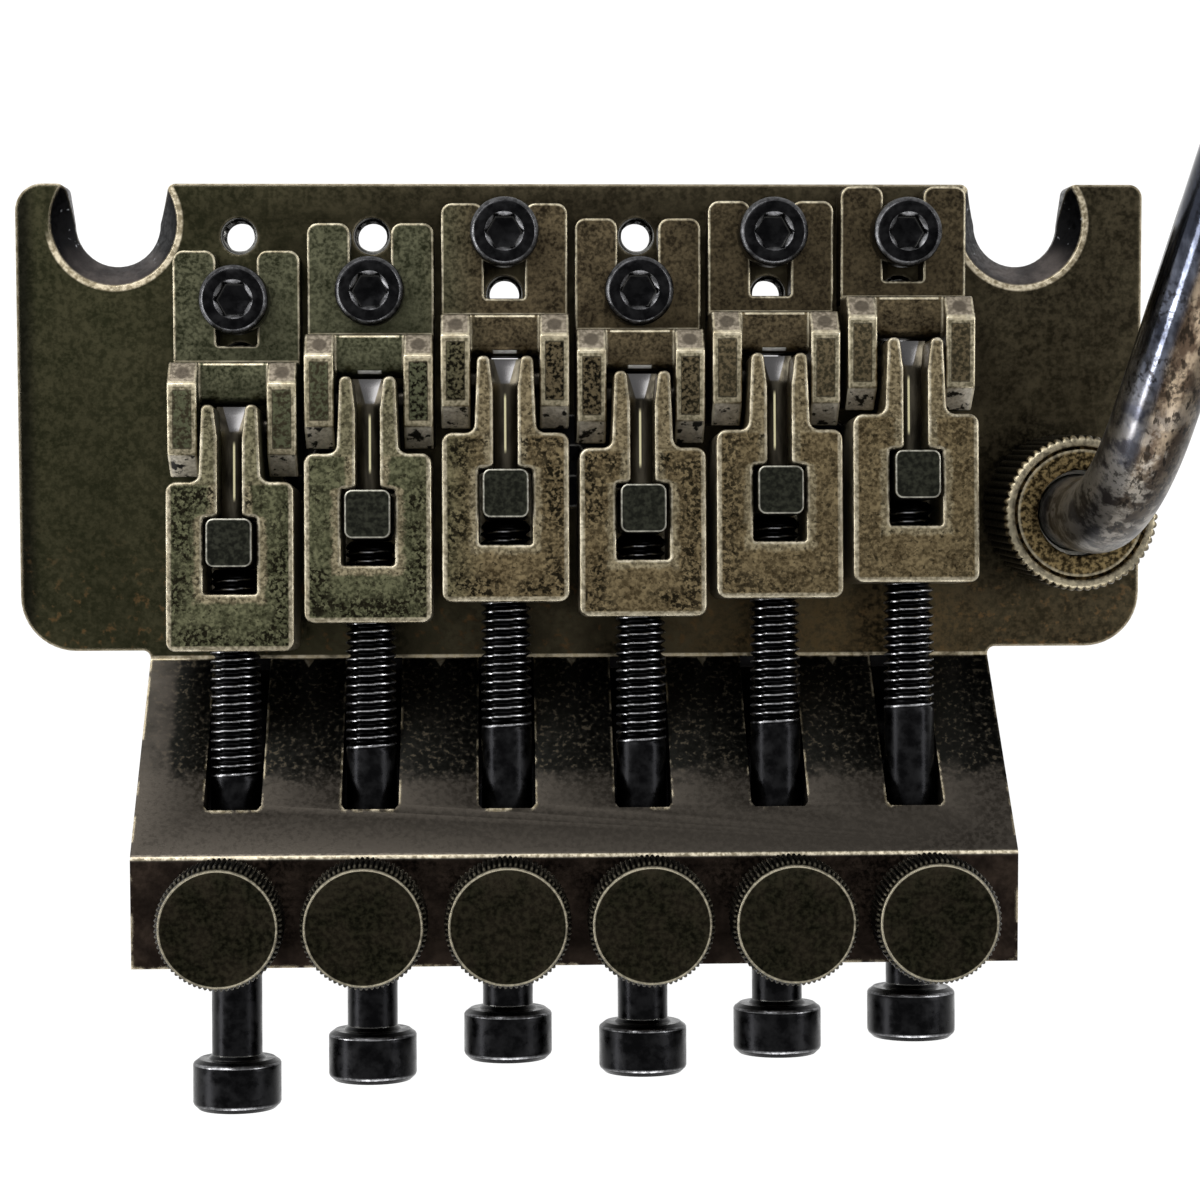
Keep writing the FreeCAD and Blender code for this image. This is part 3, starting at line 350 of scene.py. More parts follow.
def new_piece(name, shells, sharp=35.0, **fields):
    """One mesh from several shells in millimetres, smooth up to an angle, with fields of numbers
    per point. Where the shells' points have a fourth number, it is the field rim."""
    points, faces, count = [], [], 0
    for shell_points, shell_faces in shells:
        points.append(shell_points)
        faces += [[count + corner for corner in face] for face in shell_faces]
        count += len(shell_points)
    points = np.concatenate(points)
    if points.shape[1] == 4:
        fields["rim"] = points[:, 3]
    mesh = bpy.data.meshes.new(name)
    mesh.from_pydata((points[:, :3] / 1000.0).tolist(), [], faces)
    mesh.validate()
    mesh.shade_smooth()
    mesh.set_sharp_from_angle(angle=math.radians(sharp))
    for field, numbers in fields.items():
        layer = mesh.attributes.new(field, "FLOAT", "POINT")
        layer.data.foreach_set("value", np.ascontiguousarray(numbers, dtype=np.float32).ravel())
    return placed(name, mesh)


def around(sides):
    """Evenly spaced angles about an axis, as one row."""
    return np.linspace(0.0, 2.0 * np.pi, sides, endpoint=False)[None, :]


UPRIGHT = np.eye(3)


def turned(profile, place, axes=UPRIGHT, sides=48, hexed=(), relief=None):
    """A turned form: at angle a, the profile's radius r and height h give
    place + r cos a U + r sin a V + h W. Rings in hexed are hexagons with r as half their width
    across flats: there r is divided by the cosine of the angle to the middle of the nearest
    flat. Relief is added to r."""
    profile = np.asarray(profile, float)
    angle = around(sides)
    radius = np.repeat(profile[:, :1], sides, axis=1)
    rows = np.array(hexed, dtype=int)
    radius[rows] = radius[rows] / np.cos(np.mod(angle[0], np.pi / 3.0) - np.pi / 6.0)
    if relief is not None:
        radius = radius + relief(profile[:, 1:], angle)
    u, v, w = axes
    points = (radius * np.cos(angle))[..., None] * u + (radius * np.sin(angle))[..., None] * v
    return np.asarray(place) + points + profile[:, 1:, None] * w


def black_oxide(name, threaded):
    """Black oxide on steel: blue-black, slightly oily, rubbed grey on edges. A threaded piece has
    two fields: plain is 1 off its thread, and crest is 1 on its crests, which are painted white:
    partly wear and partly painted highlight."""
    coat = Finish(name)
    mottled = coat.cloudy(1.1, 0.35, 0.7)
    fine = coat.cloudy(0.35, 0.35, 0.7)
    coat.ground(mottled, (11, 11, 12), (26, 26, 27))
    worn = coat.near_edge(0.3, 0.84, 0.98, fine) * fine.span(0.6, 0.95)
    coat.cover(worn * coat.field("plain") if threaded else worn, (146, 145, 140))
    if threaded:
        # Crests painted light: partly wear, partly painted highlight.
        rubbed = coat.field("crest").step(0.84, 0.99) * fine.span(0.35, 1.0)
        coat.cover(rubbed, (148, 148, 150))
    coat.close(mottled.span(0.24, 0.42), (0.25, 0.2, 0.02))
    return coat


screw_black = black_oxide("black_oxide_screw", False)
SCREW_AXIS = -19.5
head = [(0.2, -14.0), (1.7, -14.0), (2.0, -13.6), (2.0, -1.85), (3.8, -0.08), (3.7, -0.05)]
socket = [(1.25, -0.05), (1.25, -1.2), (0.2, -1.45)]
countersunk = [
    shell(turned(head + socket, (across, SCREW_AXIS, PLATE_TOP), hexed=(6, 7)))
    for across in (-20.0, 0.0, 20.0)
]
screws = new_piece("countersunk_block_screws", countersunk)
dress(screws, screw_black, "base", "black_steel", "block_screws")

# Leaf spring: a blued steel strip under the plate, cut into six fingers that lift the lock screws.
# Two round-headed screws hold its rail. Each finger is a spring that bends down as its lock screw
# is pressed, but here the fingers are fixed with the plate.
# At rest a little room is left over each finger, because the screws come lower as saddles go back.


def rounded(corners, radii, steps=6):
    """An outline with its corners rounded: each corner's arc touches both its sides at
    r tan(half its turn) from the corner, and its points turn evenly about the arc's centre."""
    corners = np.asarray(corners, float)
    radii = np.broadcast_to(np.asarray(radii, float), len(corners))[:, None]
    arrive = corners - np.roll(corners, 1, axis=0)
    leave = np.roll(corners, -1, axis=0) - corners
    arrive = arrive / np.linalg.norm(arrive, axis=1, keepdims=True)
    leave = leave / np.linalg.norm(leave, axis=1, keepdims=True)
    sine = arrive[:, 0] * leave[:, 1] - arrive[:, 1] * leave[:, 0]
    turn = np.arctan2(sine, (arrive * leave).sum(1))[:, None]
    start = corners - arrive * radii * np.tan(np.abs(turn) / 2.0)
    inward = np.stack([-arrive[:, 1], arrive[:, 0]], axis=1) * np.sign(turn)
    centre = start + inward * radii
    angle = (turn * np.linspace(0.0, 1.0, steps))[..., None]
    spoke = (start - centre)[:, None, :]
    quarter = np.stack([-spoke[..., 1], spoke[..., 0]], axis=-1)
    points = centre[:, None, :] + spoke * np.cos(angle) + quarter * np.sin(angle)
    points = points.reshape(-1, 2)
    apart = np.linalg.norm(points - np.roll(points, 1, axis=0), axis=1) > 1e-4
    return points[apart]


def prism(outline, low, high, place, axes=UPRIGHT, roll_low=0.0, roll_high=0.0, steps=5, hem=0.0):
    """An outline carried along its normal with rolled edges: over a quarter turn it moves in by
    roll (1 - cos), along each corner's mitre, and up by roll sin. Each point's fourth number is
    its wear: 1 on the rolls, falling to 0 over a hem on both sides of them."""
    side = np.roll(outline, -1, axis=0) - outline
    side = side / np.linalg.norm(side, axis=1, keepdims=True)
    out = np.stack([side[:, 1], -side[:, 0]], axis=1)
    before = np.roll(out, 1, axis=0)
    mitre = (out + before) / (1.0 + (out * before).sum(1, keepdims=True))
    turn = np.linspace(0.0, np.pi / 2.0, steps)
    low_hem, high_hem = (hem if roll > 0.0 else 0.0 for roll in (roll_low, roll_high))
    low_in, high_in = roll_low * (1.0 - np.sin(turn)), roll_high * (1.0 - np.cos(turn))
    low_up = low + roll_low * (1.0 - np.cos(turn))
    high_up = high - roll_high * (1.0 - np.sin(turn))
    low_rim, high_rim = (np.full(steps, float(width > 0.0)) for width in (low_hem, high_hem))
    inset = np.concatenate([[roll_low + low_hem], low_in, [0, 0], high_in, [roll_high + high_hem]])
    walls = [low_up[-1] + low_hem, high_up[0] - high_hem]
    height = np.concatenate([[low], low_up, walls, high_up, [high]])
    rim = np.concatenate([[0.0], low_rim, [0.0, 0.0], high_rim, [0.0]])
    u, v, w = axes
    flat = outline[None] - inset[:, None, None] * mitre[None]
    kept = np.concatenate([[True], np.abs(np.diff(inset)) + np.abs(np.diff(height)) > 1e-6])
    points = flat[..., :1] * u + flat[..., 1:] * v + height[:, None, None] * w
    wear = np.broadcast_to(rim[:, None, None], points.shape[:2] + (1,))
    return np.concatenate([np.asarray(place) + points, wear], axis=-1)[kept]


def box_of(node):
    """The low and the high corner of a solid's box, in millimetres."""
    return np.array(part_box(node)) * 1000.0


SIDEWAYS = np.array([[0.0, 1.0, 0.0], [0.0, 0.0, 1.0], [1.0, 0.0, 0.0]])
rail = merged_copy("fine_tuner_spring", "leaf_spring_rail", 0.1)
blued = Finish("blued_spring_steel")
mottled = blued.cloudy(3.0, 0.35, 0.7)
blued.ground(mottled, (16, 16, 18), (30, 29, 29))
blued.cover(blued.near_edge(0.25, 0.8, 0.98, mottled), (92, 90, 86))
blued.close(mottled.step(-0.9, 2.6), (0.3, 0.15, 0.02))
dress(rail, blued, "base", "spring_steel", "fine_tuner_spring")

STRINGS = range(1, 7)
LEAF, LEAF_ROOM, CREST_AT = 0.5, 0.34, 0.83
for string in STRINGS:
    low, high = box_of(f"spring_finger_{string}")
    run = np.linspace(0.0, 1.0, 24)
    climb = np.sin(run / CREST_AT * np.pi / 2.0) ** 1.15
    rise = np.where(run < CREST_AT, climb, 1.0 - 1.1 * (run - CREST_AT) ** 2)
    foot = low[2] + LEAF
    height = foot + (high[2] - LEAF_ROOM - foot) * rise
    upper = np.stack([high[1] + (low[1] - high[1]) * run, height], axis=1)
    strip = np.concatenate([upper, (upper - [0.0, LEAF])[::-1]])
    bent = shell(prism(strip, low[0], high[0], (0, 0, 0), SIDEWAYS))
    finger = new_piece(f"leaf_finger_{string}", [bent])
    dress(finger, blued, "base", "spring_steel", f"spring_finger_{string}")
    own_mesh(finger)

RAIL_SCREWS, RAIL_AXIS = (-21.6, 21.6), -29.75
dome = [(0.1, 2.3), (1.05, 2.3), (1.25, 2.1), (1.25, 0.0)]
dome += [(2.25, 0.0), (2.2, -0.5), (1.8, -0.95), (1.1, -1.3)]
drive = [(0.75, -1.38), (0.75, -0.8), (0.1, -0.75)]
round_heads = [
    shell(turned(dome + drive, (across, RAIL_AXIS, -LEAF), sides=36, hexed=(8, 9))[::-1])
    for across in RAIL_SCREWS
]
screws = new_piece("round_head_spring_screws", round_heads)
dress(screws, screw_black, "base", "black_steel", "spring_screws")

# Saddles: zinc castings, each a fork with an open slot, a flat rest for the string and two ears.
# The plating has turned olive on the bass side and brown on the treble side, with bright edges.


def aged_casting(name, dim, lit, dim_bass, lit_bass):
    """Aged plating on a casting: a fine speckle between a dim and a lit tone, with other tones on
    the bass side. Each casting's own wear is laid over it."""
    coat = Finish(name)
    fine = coat.cloudy(0.3, 0.38, 0.62)
    mottled = coat.cloudy(1.3, 0.34, 0.68)
    bass = coat.along(0).step(-6.0, -13.0)
    dark, light = coat.mix(bass, dim, dim_bass), coat.mix(bass, lit, lit_bass)
    coat.ground(fine * 0.55 + mottled * 0.45, dark, light)
    return coat, fine, mottled


def mirrored(corners, radii):
    """A rounded outline from the corners of its right side and their mirror images."""
    left = [(-across, setback) for across, setback in reversed(corners)]
    return rounded(corners + left, radii + radii[::-1])


SADDLE_HALF, FORK_FRONT, FORK_THICK, EAR_FRONT, EAR_REAR = 5.1, 1.3, 2.8, -7.75, -16.9
EAR_THICK, EAR_RISE, BAY_HALF, BRIDGE_REAR, BRIDGE_RISE = 2.35, 7.6, 2.75, -11.1, 6.0
SLOT_HALF, SLOT_END, FORK_LAP, REST_LAP, CASTING_GRAIN = 1.65, -6.35, 0.6, 0.5, (0.3, 0.3, 0.04)
EAR_MIDDLE, FRONT_FACET, REAR_FACET, SPOT_SETBACK = 3.925, -9.5, -15.05, 8.6
saddle_cast, fine, mottled = aged_casting(
    "aged_plating_saddle", (33, 28, 20), (86, 76, 57), (33, 35, 23), (82, 82, 64)
)
coat, x = saddle_cast, saddle_cast.along(0)
out, setback = abs(coat.field("across")), coat.field("setback")
treble_fork = setback.step(EAR_FRONT, EAR_FRONT + 0.3) * x.step(-2.0, 14.0)
coat.cover(treble_fork * 0.4, (31, 27, 19))
on_ear = out.step(BAY_HALF - 0.1, BAY_HALF - 0.02) * setback.step(EAR_FRONT + 0.05, EAR_FRONT)
on_ear = on_ear * coat.facing(2, 0.3, 0.45)
coat.cover(on_ear, coat.mix(fine, (96, 90, 72), (140, 132, 111)))
panel = on_ear * out.band(EAR_MIDDLE, 0.66, 0.14) * setback.band(-12.3, 2.2, 0.2)
panel_dark = coat.mix(x.band(-4.0, 12.0, 4.0), (46, 42, 31), (17, 15, 10))
panel_lit = coat.mix(x.step(-6.0, -13.0), (82, 73, 55), (72, 74, 56))
coat.cover(panel, coat.mix(coat.cloudy(0.34, 0.42, 0.58), panel_dark, panel_lit))
coat.cover(panel * (1.0 - panel) * 2.6, (22, 19, 13))
front = on_ear * setback.step(FRONT_FACET - 0.05, FRONT_FACET + 0.1)
coat.cover(front, coat.mix(fine, (108, 100, 87), (134, 125, 111)))
off_side, off_length = out - EAR_MIDDLE, (setback + SPOT_SETBACK) * 1.25
spot = (off_side * off_side + off_length * off_length).step(0.5, 0.2)
coat.cover(front * spot, (84, 77, 67))
rear = on_ear * setback.step(REAR_FACET, REAR_FACET - 0.2)
coat.cover(rear, coat.mix(fine, (156, 150, 138), (192, 185, 171)))
put(coat.shader.inputs["Metallic"], rear.span(1.0, 0.25))
coat.cover(rear * coat.cloudy(1.0, 0.54, 0.6), (11, 10, 8))
facet_line = on_ear * setback.band(FRONT_FACET, 0.16, 0.1)
between_ears = out.step(BAY_HALF - 0.3, BAY_HALF - 0.45) * coat.facing(2, 0.2, 0.4)
rest_line = between_ears * setback.band(EAR_FRONT - 0.16, 0.07, 0.06) * 0.9
heel_line = setback.band(EAR_FRONT + 0.14, 0.05, 0.06) * coat.facing(2, 0.9, 0.95) * 0.6
rim = coat.field("rim").step(0.1, 0.9) * fine.span(0.55, 1.0)
worn = coat.near_edge(0.36, 0.9, 0.985, fine).most(rim)
worn = worn.most(facet_line).most(rest_line).most(heel_line)
coat.cover(worn * 0.92, coat.mix(mottled, (136, 127, 106), (184, 176, 154)))
# A painted highlight: a near-white line along the rest's rear edge, between the prongs.
lip = out.step(1.0, 0.85) * setback.band(BRIDGE_REAR + 0.34, 0.1, 0.05)
coat.cover(lip * coat.facing(2, 0.3, 0.5) * x.band(0.0, 21.0, 0.5), (236, 235, 230))
coat.close(fine.span(0.3, 0.55), CASTING_GRAIN)

fork_side = [(SADDLE_HALF, EAR_FRONT - FORK_LAP), (SADDLE_HALF, FORK_FRONT)]
fork_side += [(SLOT_HALF, FORK_FRONT), (SLOT_HALF, SLOT_END)]
fork = mirrored(fork_side, (0.0, 0.85, 0.85, 0.25))
ear_side = [(EAR_FRONT, 0.0), (EAR_FRONT, EAR_RISE - 1.45), (EAR_FRONT - 1.75, EAR_RISE)]
ear_side += [(EAR_REAR + 1.85, EAR_RISE), (EAR_REAR, EAR_RISE - 1.9), (EAR_REAR, 0.0)]
ear = rounded(ear_side, (0.0, 0.5, 0.3, 0.35, 0.5, 0.0))
rest_side = [(EAR_FRONT, 0.0), (EAR_FRONT, BRIDGE_RISE)]
rest_side += [(BRIDGE_REAR, BRIDGE_RISE), (BRIDGE_REAR, 0.0)]
rest = rounded(rest_side, (0.0, 0.3, 1.2, 0.0))
saddle_place = {}
for string in STRINGS:
    low, high = box_of(f"saddle_{string}")
    middle = np.array([(low[0] + high[0]) / 2.0, high[1] - FORK_FRONT, low[2]])
    saddle_place[string] = middle
    shells = [shell(prism(fork, 0.0, FORK_THICK, middle, roll_high=0.12, steps=4, hem=0.12))]
    for inner in (-SADDLE_HALF, BAY_HALF):
        sides = (inner, inner + EAR_THICK, middle, SIDEWAYS)
        shells.append(shell(prism(ear, *sides, 0.14, 0.14, 4, 0.12)))
    shells.append(shell(prism(rest, -BAY_HALF - REST_LAP, BAY_HALF + REST_LAP, middle, SIDEWAYS)))
    own = np.concatenate([points[:, :3] for points, faces in shells]) - middle
    saddle = new_piece(f"saddle_casting_{string}", shells, across=own[:, 0], setback=own[:, 1])
    dress(saddle, saddle_cast, f"saddle_{string}", "saddle", f"saddle_{string}")

# Saddle screws: black socket-head cap screws, one through each fork into a tapped hole of the
# plate. Each string has three such holes, so that its saddle can be set further back.
# The free holes show their thread.
HEAD_FOOT, CAP_SIDES = PLATE_TOP + FORK_THICK, 72
cap_head = [(0.02, -5.4), (1.2, -5.4), (1.45, -5.1), (1.45, 0.0), (2.55, 0.0), (2.75, 0.2)]
cap_head += [(2.75, 2.6), (2.7, 2.72), (2.42, 2.96), (2.3, 3.0), (1.62, 3.0), (1.56, 2.98)]
cap_socket = [(1.25, 2.72), (1.25, 1.4), (0.02, 1.1)]
# cap_crest marks each head's chamfer rings and the rim of its socket, which are painted light:
# partly wear and partly painted highlight.
cap_crest = [0.0] * 7 + [0.9, 0.88, 0.0, 0.0, 0.89, 0.89, 0.0, 0.0]
SCREW_SETBACK = {1: 6.55, 2: 5.85, 3: 1.15, 4: 5.85, 5: 1.15, 6: 1.15}
threaded_black = black_oxide("black_oxide_thread", True)
caps = []
for string in STRINGS:
    foot = (saddle_place[string][0], -SCREW_SETBACK[string], HEAD_FOOT)
    caps.append(shell(turned(cap_head + cap_socket, foot, sides=CAP_SIDES, hexed=(12, 13))))
crest = np.tile(np.repeat(cap_crest, CAP_SIDES), len(STRINGS))
screws = new_piece("socket_head_saddle_screws", caps, crest=crest, plain=np.full(crest.shape, 0.2))
dress(screws, threaded_black, "base", "black_steel", "saddle_screws")


def thread_wave(height, angle, pitch):
    """A right-hand thread's wave: 1 on the crest, 0 in the root, a pitch further up each turn."""
    phase = np.mod(height / pitch - angle / (2.0 * np.pi), 1.0)
    return np.clip(1.6 * np.abs(2.0 * phase - 1.0) - 0.3, 0.0, 1.0)


def thread_cut(height, angle, first, last, pitch, depth):
    """How deep a thread is cut: its wave, which fades in over half a pitch and out over a pitch."""
    fade_in = np.clip((height - first) / pitch * 2.0, 0.0, 1.0)
    fade_out = np.clip((last - height) / pitch, 0.0, 1.0)
    return -depth * (1.0 - thread_wave(height, angle, pitch)) * (fade_in * fade_out)


def tapped_relief(height, angle):
    """The thread inside a tapped hole: its crests stand inwards from the sleeve's inner rows."""
    return -TAPPED_DEPTH * thread_wave(height, angle, TAPPED_PITCH) * tapped_inner


HOLE_ROWS, BASS_ROW_SETBACK = (1.15, 5.85, 10.55), 0.7
TAPPED_DEPTH, TAPPED_PITCH, TAPPED_RADIUS, TAPPED_WALL = 0.24, 0.5, 1.46, 0.03
tapped_up = np.arange(0.15, 2.86, TAPPED_PITCH / 8.0)
tapped_profile = [(TAPPED_RADIUS + TAPPED_WALL, 0.15), (TAPPED_RADIUS + TAPPED_WALL, 2.85)]
tapped_profile += [(TAPPED_RADIUS, step) for step in tapped_up[::-1]]
tapped_inner = np.array([0.0, 0.0] + [1.0] * len(tapped_up))[:, None]
sleeves = []
for string in STRINGS:
    for row, setback in enumerate(HOLE_ROWS):
        setback += BASS_ROW_SETBACK if string == 1 and row > 0 else 0.0
        if abs(setback - SCREW_SETBACK[string]) > 0.1:
            hole = (saddle_place[string][0], -setback, 0.0)
            sleeve = turned(tapped_profile, hole, sides=40, relief=tapped_relief)
            sleeves.append(shell(sleeve, loop=True))
tapped = new_piece("tapped_hole_threads", sleeves, 40.0)
dress(tapped, screw_black, "base", "plate")

# Hinge pins: ground steel pins, pressed through both ears of each saddle.
# A jaw turns on each of them, and only their ends and middles show beside it.
PIN_SETBACK, PIN_HEIGHT = 13.0, 7.0
ground_steel = Finish("ground_steel_pin")
rings = ground_steel.cloudy(0.6, 0.3, 0.7, place=ground_steel.stretched(4.0, 1.0, 1.0))
ground_steel.ground(rings, (22, 21, 18), (44, 41, 36))
ground_steel.close(0.25, (0.2, 0.15, 0.01))
pin_profile = [(0.1, -5.06), (0.8, -5.06), (1.0, -4.9), (1.0, 4.9), (0.8, 5.06), (0.1, 5.06)]
jaw_origin = {}
for string in STRINGS:
    centre = saddle_place[string] + [0.0, -PIN_SETBACK, PIN_HEIGHT - PLATE_TOP]
    jaw_origin[string] = centre
    pin_shell = shell(turned(pin_profile, centre, SIDEWAYS, sides=32))
    pin = new_piece(f"hinge_pin_{string}", [pin_shell])
    dress(pin, ground_steel, f"saddle_{string}", "pin", f"saddle_pin_{string}")

# Jaws: zinc castings that hinge on the pins. Two prongs guide the string into a polished channel,
# and a window behind them holds the insert that clamps it.
TILT = math.radians(4.0)
JAW_AXES = np.array(
    [[1.0, 0.0, 0.0], [0.0, math.cos(TILT), -math.sin(TILT)], [0.0, math.sin(TILT), math.cos(TILT)]]
)
PRONG_FRONT, SHOULDER, JAW_REAR, JAW_HALF, JAW_BOTTOM, JAW_TOP = 1.45, -4.6, -17.9, 5.0, -2.2, 5.6
WINDOW_FRONT, WINDOW_REAR, WINDOW_HALF, WINDOW_FLOOR, FLOOR_LAP = -7.4, -13.4, 2.1, -1.2, 0.4
SLOT, SLOT_MOUTH, FLARE, CHANNEL_FLOOR = 0.95, 1.25, 2.5, 1.8
PRONG_TIP, PRONG_ROOT = 2.2, 2.45
jaw_cast, fine, mottled = aged_casting(
    "aged_plating_jaw", (57, 48, 32), (105, 93, 69), (47, 48, 33), (86, 86, 65)
)
coat = jaw_cast
out, setback = abs(coat.field("across")), coat.field("setback")
at_window = setback.step(WINDOW_FRONT + 0.4, WINDOW_FRONT - 0.1)
from_opening = (out - (at_window * (WINDOW_HALF - SLOT) + SLOT)).most(WINDOW_REAR - setback)
handled = (from_opening + coat.cloudy(0.7, 0.3, 0.7) * 0.35).step(1.05, 0.7)
on_prong = setback.step(SHOULDER - 0.4, SHOULDER)
handled = handled.most(on_prong).least(on_prong.span(1.0, 0.42))
coat.cover(handled * 0.85, coat.mix(fine, (90, 82, 64), (126, 117, 95)))
from_rim = (JAW_HALF - out).least(setback - JAW_REAR)
from_border = from_rim.least(SHOULDER - setback)
margin = from_border.step(0.35, 0.5) * from_border.step(2.7, 1.6)
patch = coat.cloudy(3.6, 0.36, 0.52, detail=2.0)
pits = margin * patch * coat.cloudy(0.34, 0.47, 0.55) * 0.94
coat.cover(pits * coat.along(0).step(6.0, 24.0).span(1.0, 0.45), (15, 13, 8))
coat.cover(coat.cloudy(0.4, 0.58, 0.64) * 0.7, (22, 19, 12))
border = coat.mix(fine, (104, 97, 80), (146, 138, 119))
coat.cover(from_rim.step(0.48, 0.34) * 0.8, border)
rim = coat.field("rim").step(0.3, 1.0) * fine.span(0.5, 0.95)
worn = coat.near_edge(0.5, 0.93, 0.988, fine).most(rim)
coat.cover(worn * 0.9, coat.mix(mottled, (118, 110, 92), (168, 161, 143)))
coat.close(fine.span(0.3, 0.55), CASTING_GRAIN)
jaw_side = [(JAW_HALF, JAW_REAR), (JAW_HALF, SHOULDER), (PRONG_ROOT, SHOULDER)]
jaw_side += [(PRONG_TIP, PRONG_FRONT), (SLOT_MOUTH, PRONG_FRONT), (SLOT, PRONG_FRONT - FLARE)]
jaw_side += [(SLOT, WINDOW_FRONT), (WINDOW_HALF, WINDOW_FRONT), (WINDOW_HALF, WINDOW_REAR)]
jaw_outline = mirrored(jaw_side, (0.8, 0.8, 0.7, 0.45, 0.42, 1.5, 0.42, 0.25, 0.25))
CHANNEL_HALF, CHANNEL_DISH, RAMP_RUN, RAMP_DROP = 1.4, 0.5, 2.0, 0.5
CHANNEL_LEAD, DISH_LOSS, UNDER_LIFT = 0.15, 0.8, 0.2


def channel_rings():
    """The string's channel: closed sections along it, each a dished floor over a flat underside.
    Over the ramp at its front the floor falls away evenly and its dish flattens."""
    setback = np.linspace(-CHANNEL_LEAD - PRONG_FRONT, -WINDOW_FRONT, 28)[:, None]
    share = np.clip(1.0 - (setback + PRONG_FRONT) / RAMP_RUN, 0.0, 1.0)
    across = np.linspace(CHANNEL_HALF, -CHANNEL_HALF, 17)[None, :]
    dish = CHANNEL_DISH * (1.0 - DISH_LOSS * share) * (across / CHANNEL_HALF) ** 2
    floor = CHANNEL_FLOOR - RAMP_DROP * share + dish
    under = np.full((len(setback), 2), JAW_BOTTOM + UNDER_LIFT)
    across = np.concatenate([[[-CHANNEL_HALF, CHANNEL_HALF]], across], axis=1)
    height = np.concatenate([under, floor], axis=1)
    return np.stack(np.broadcast_arrays(across, height, setback), axis=-1)


CROSSWISE = np.array([JAW_AXES[0], JAW_AXES[2], -JAW_AXES[1]])
polished = Finish("polished_channel")
smear = polished.cloudy(0.8, 0.3, 0.7, place=polished.stretched(1.0, 0.2, 1.0))
polished.ground(smear, (24, 22, 18), (64, 60, 51))
out, setback = abs(polished.field("across")), polished.field("setback")
ramp = (setback * 0.28 + 0.51 - out).step(0.0, 0.08) * setback.step(-0.5, -0.3)
polished.cover(ramp, (76, 75, 75))
# A painted highlight along the middle of the channel's floor.
channel_highlight = out.band(0.0, 0.04, 0.08) * setback.band(-3.6, 1.9, 0.6)
polished.cover(channel_highlight, (214, 206, 168))
polished.close(0.26, (0.5, 0.1, 0.02))
FLOOR_HALF = 2.4
floor_corners = [(FLOOR_HALF, WINDOW_REAR - FLOOR_LAP), (FLOOR_HALF, WINDOW_FRONT + FLOOR_LAP)]
window_floor = mirrored(floor_corners, (0.0, 0.0))
channel_form = channel_rings()
for string in STRINGS:
    origin = jaw_origin[string]
    shells = [
        shell(prism(jaw_outline, JAW_BOTTOM, JAW_TOP, origin, JAW_AXES, 0.15, 0.18, 4, 0.2)),
        shell(prism(window_floor, JAW_BOTTOM, WINDOW_FLOOR, origin, JAW_AXES)),
    ]
    own = (np.concatenate([points[:, :3] for points, faces in shells]) - origin) @ JAW_AXES.T
    jaw = new_piece(f"jaw_casting_{string}", shells, across=own[:, 0], setback=own[:, 1])
    dress(jaw, jaw_cast, f"jaw_{string}", "jaw", f"saddle_jaw_{string}")
    own = {"across": channel_form[..., 0], "setback": -channel_form[..., 2]}
    lining = shell(origin + channel_form @ CROSSWISE)
    channel = new_piece(f"string_channel_{string}", [lining], **own)
    dress(channel, polished, f"jaw_{string}", "jaw")

# String inserts: small blocks of hard steel, blackened, with edges rubbed bright.
# Each slides in the window of its jaw, and its lock screw pushes it onto the string's end.
INSERT_HALF, INSERT_FRONT, INSERT_REAR, INSERT_FLOOR, INSERT_TOP = 1.8, -7.5, -11.3, -0.95, 6.5
insert_outline = mirrored([(INSERT_HALF, INSERT_REAR), (INSERT_HALF, INSERT_FRONT)], (0.6, 0.6))
blackened = Finish("blackened_insert")
fine = blackened.cloudy(0.4, 0.36, 0.66)
blackened.ground(fine, (24, 25, 21), (42, 43, 36))
worn = blackened.field("rim").step(0.2, 0.9) * fine.span(0.6, 0.95)
blackened.cover(worn, (142, 140, 130))
blackened.close(fine.span(0.28, 0.45), (0.3, 0.2, 0.02))
for string in STRINGS:
    origin = jaw_origin[string]
    form = prism(insert_outline, INSERT_FLOOR, INSERT_TOP, origin, JAW_AXES, 0.1, 0.1, 3, 0.08)
    insert = new_piece(f"clamp_insert_{string}", [shell(form)])
    dress(insert, blackened, f"insert_{string}", "black_steel", f"string_insert_{string}")

# Lock screws: long black socket-head screws with a coarse rolled thread on their front half.
# Each pushes its insert, runs back through a slot of the plate, and is pressed down by its tuner.
LOCK_TIP, AXIS_LIFT, LOCK_LENGTH, LOCK_RADIUS, LOCK_SIDES = 11.4, 1.0, 38.9, 2.0, 48
THREAD_START, THREAD_RUN, LOCK_PITCH, LOCK_DEPTH = 0.5, 16.6, 0.7, 0.36
steps_along = np.arange(THREAD_START, THREAD_RUN, LOCK_PITCH / 8.0)
shank = [(0.02, 0.0), (1.6, 0.0), (1.9, 0.3)] + [(LOCK_RADIUS, step) for step in steps_along]
shank += [(LOCK_RADIUS, THREAD_RUN + 0.2), (LOCK_RADIUS, LOCK_LENGTH - 0.3), (2.3, LOCK_LENGTH)]
lock_head = [(3.02, 0.0), (3.28, 0.2), (3.42, 0.3), (3.5, 0.45), (3.5, 0.75), (3.5, 3.3)]
lock_head += [(3.5, 3.45), (3.42, 3.65), (3.28, 3.78), (3.05, 4.0), (1.9, 4.0), (1.75, 3.95)]
lock_head += [(1.5, 3.8), (1.5, 2.0), (0.02, 1.7)]
lock_profile = np.array(shank + [(radius, LOCK_LENGTH + step) for radius, step in lock_head])
socket_row = len(lock_profile) - 3


def lock_relief(height, angle):
    """The lock screw's thread, cut into its front half only."""
    return thread_cut(height, angle, THREAD_START, THREAD_RUN, LOCK_PITCH, LOCK_DEPTH)
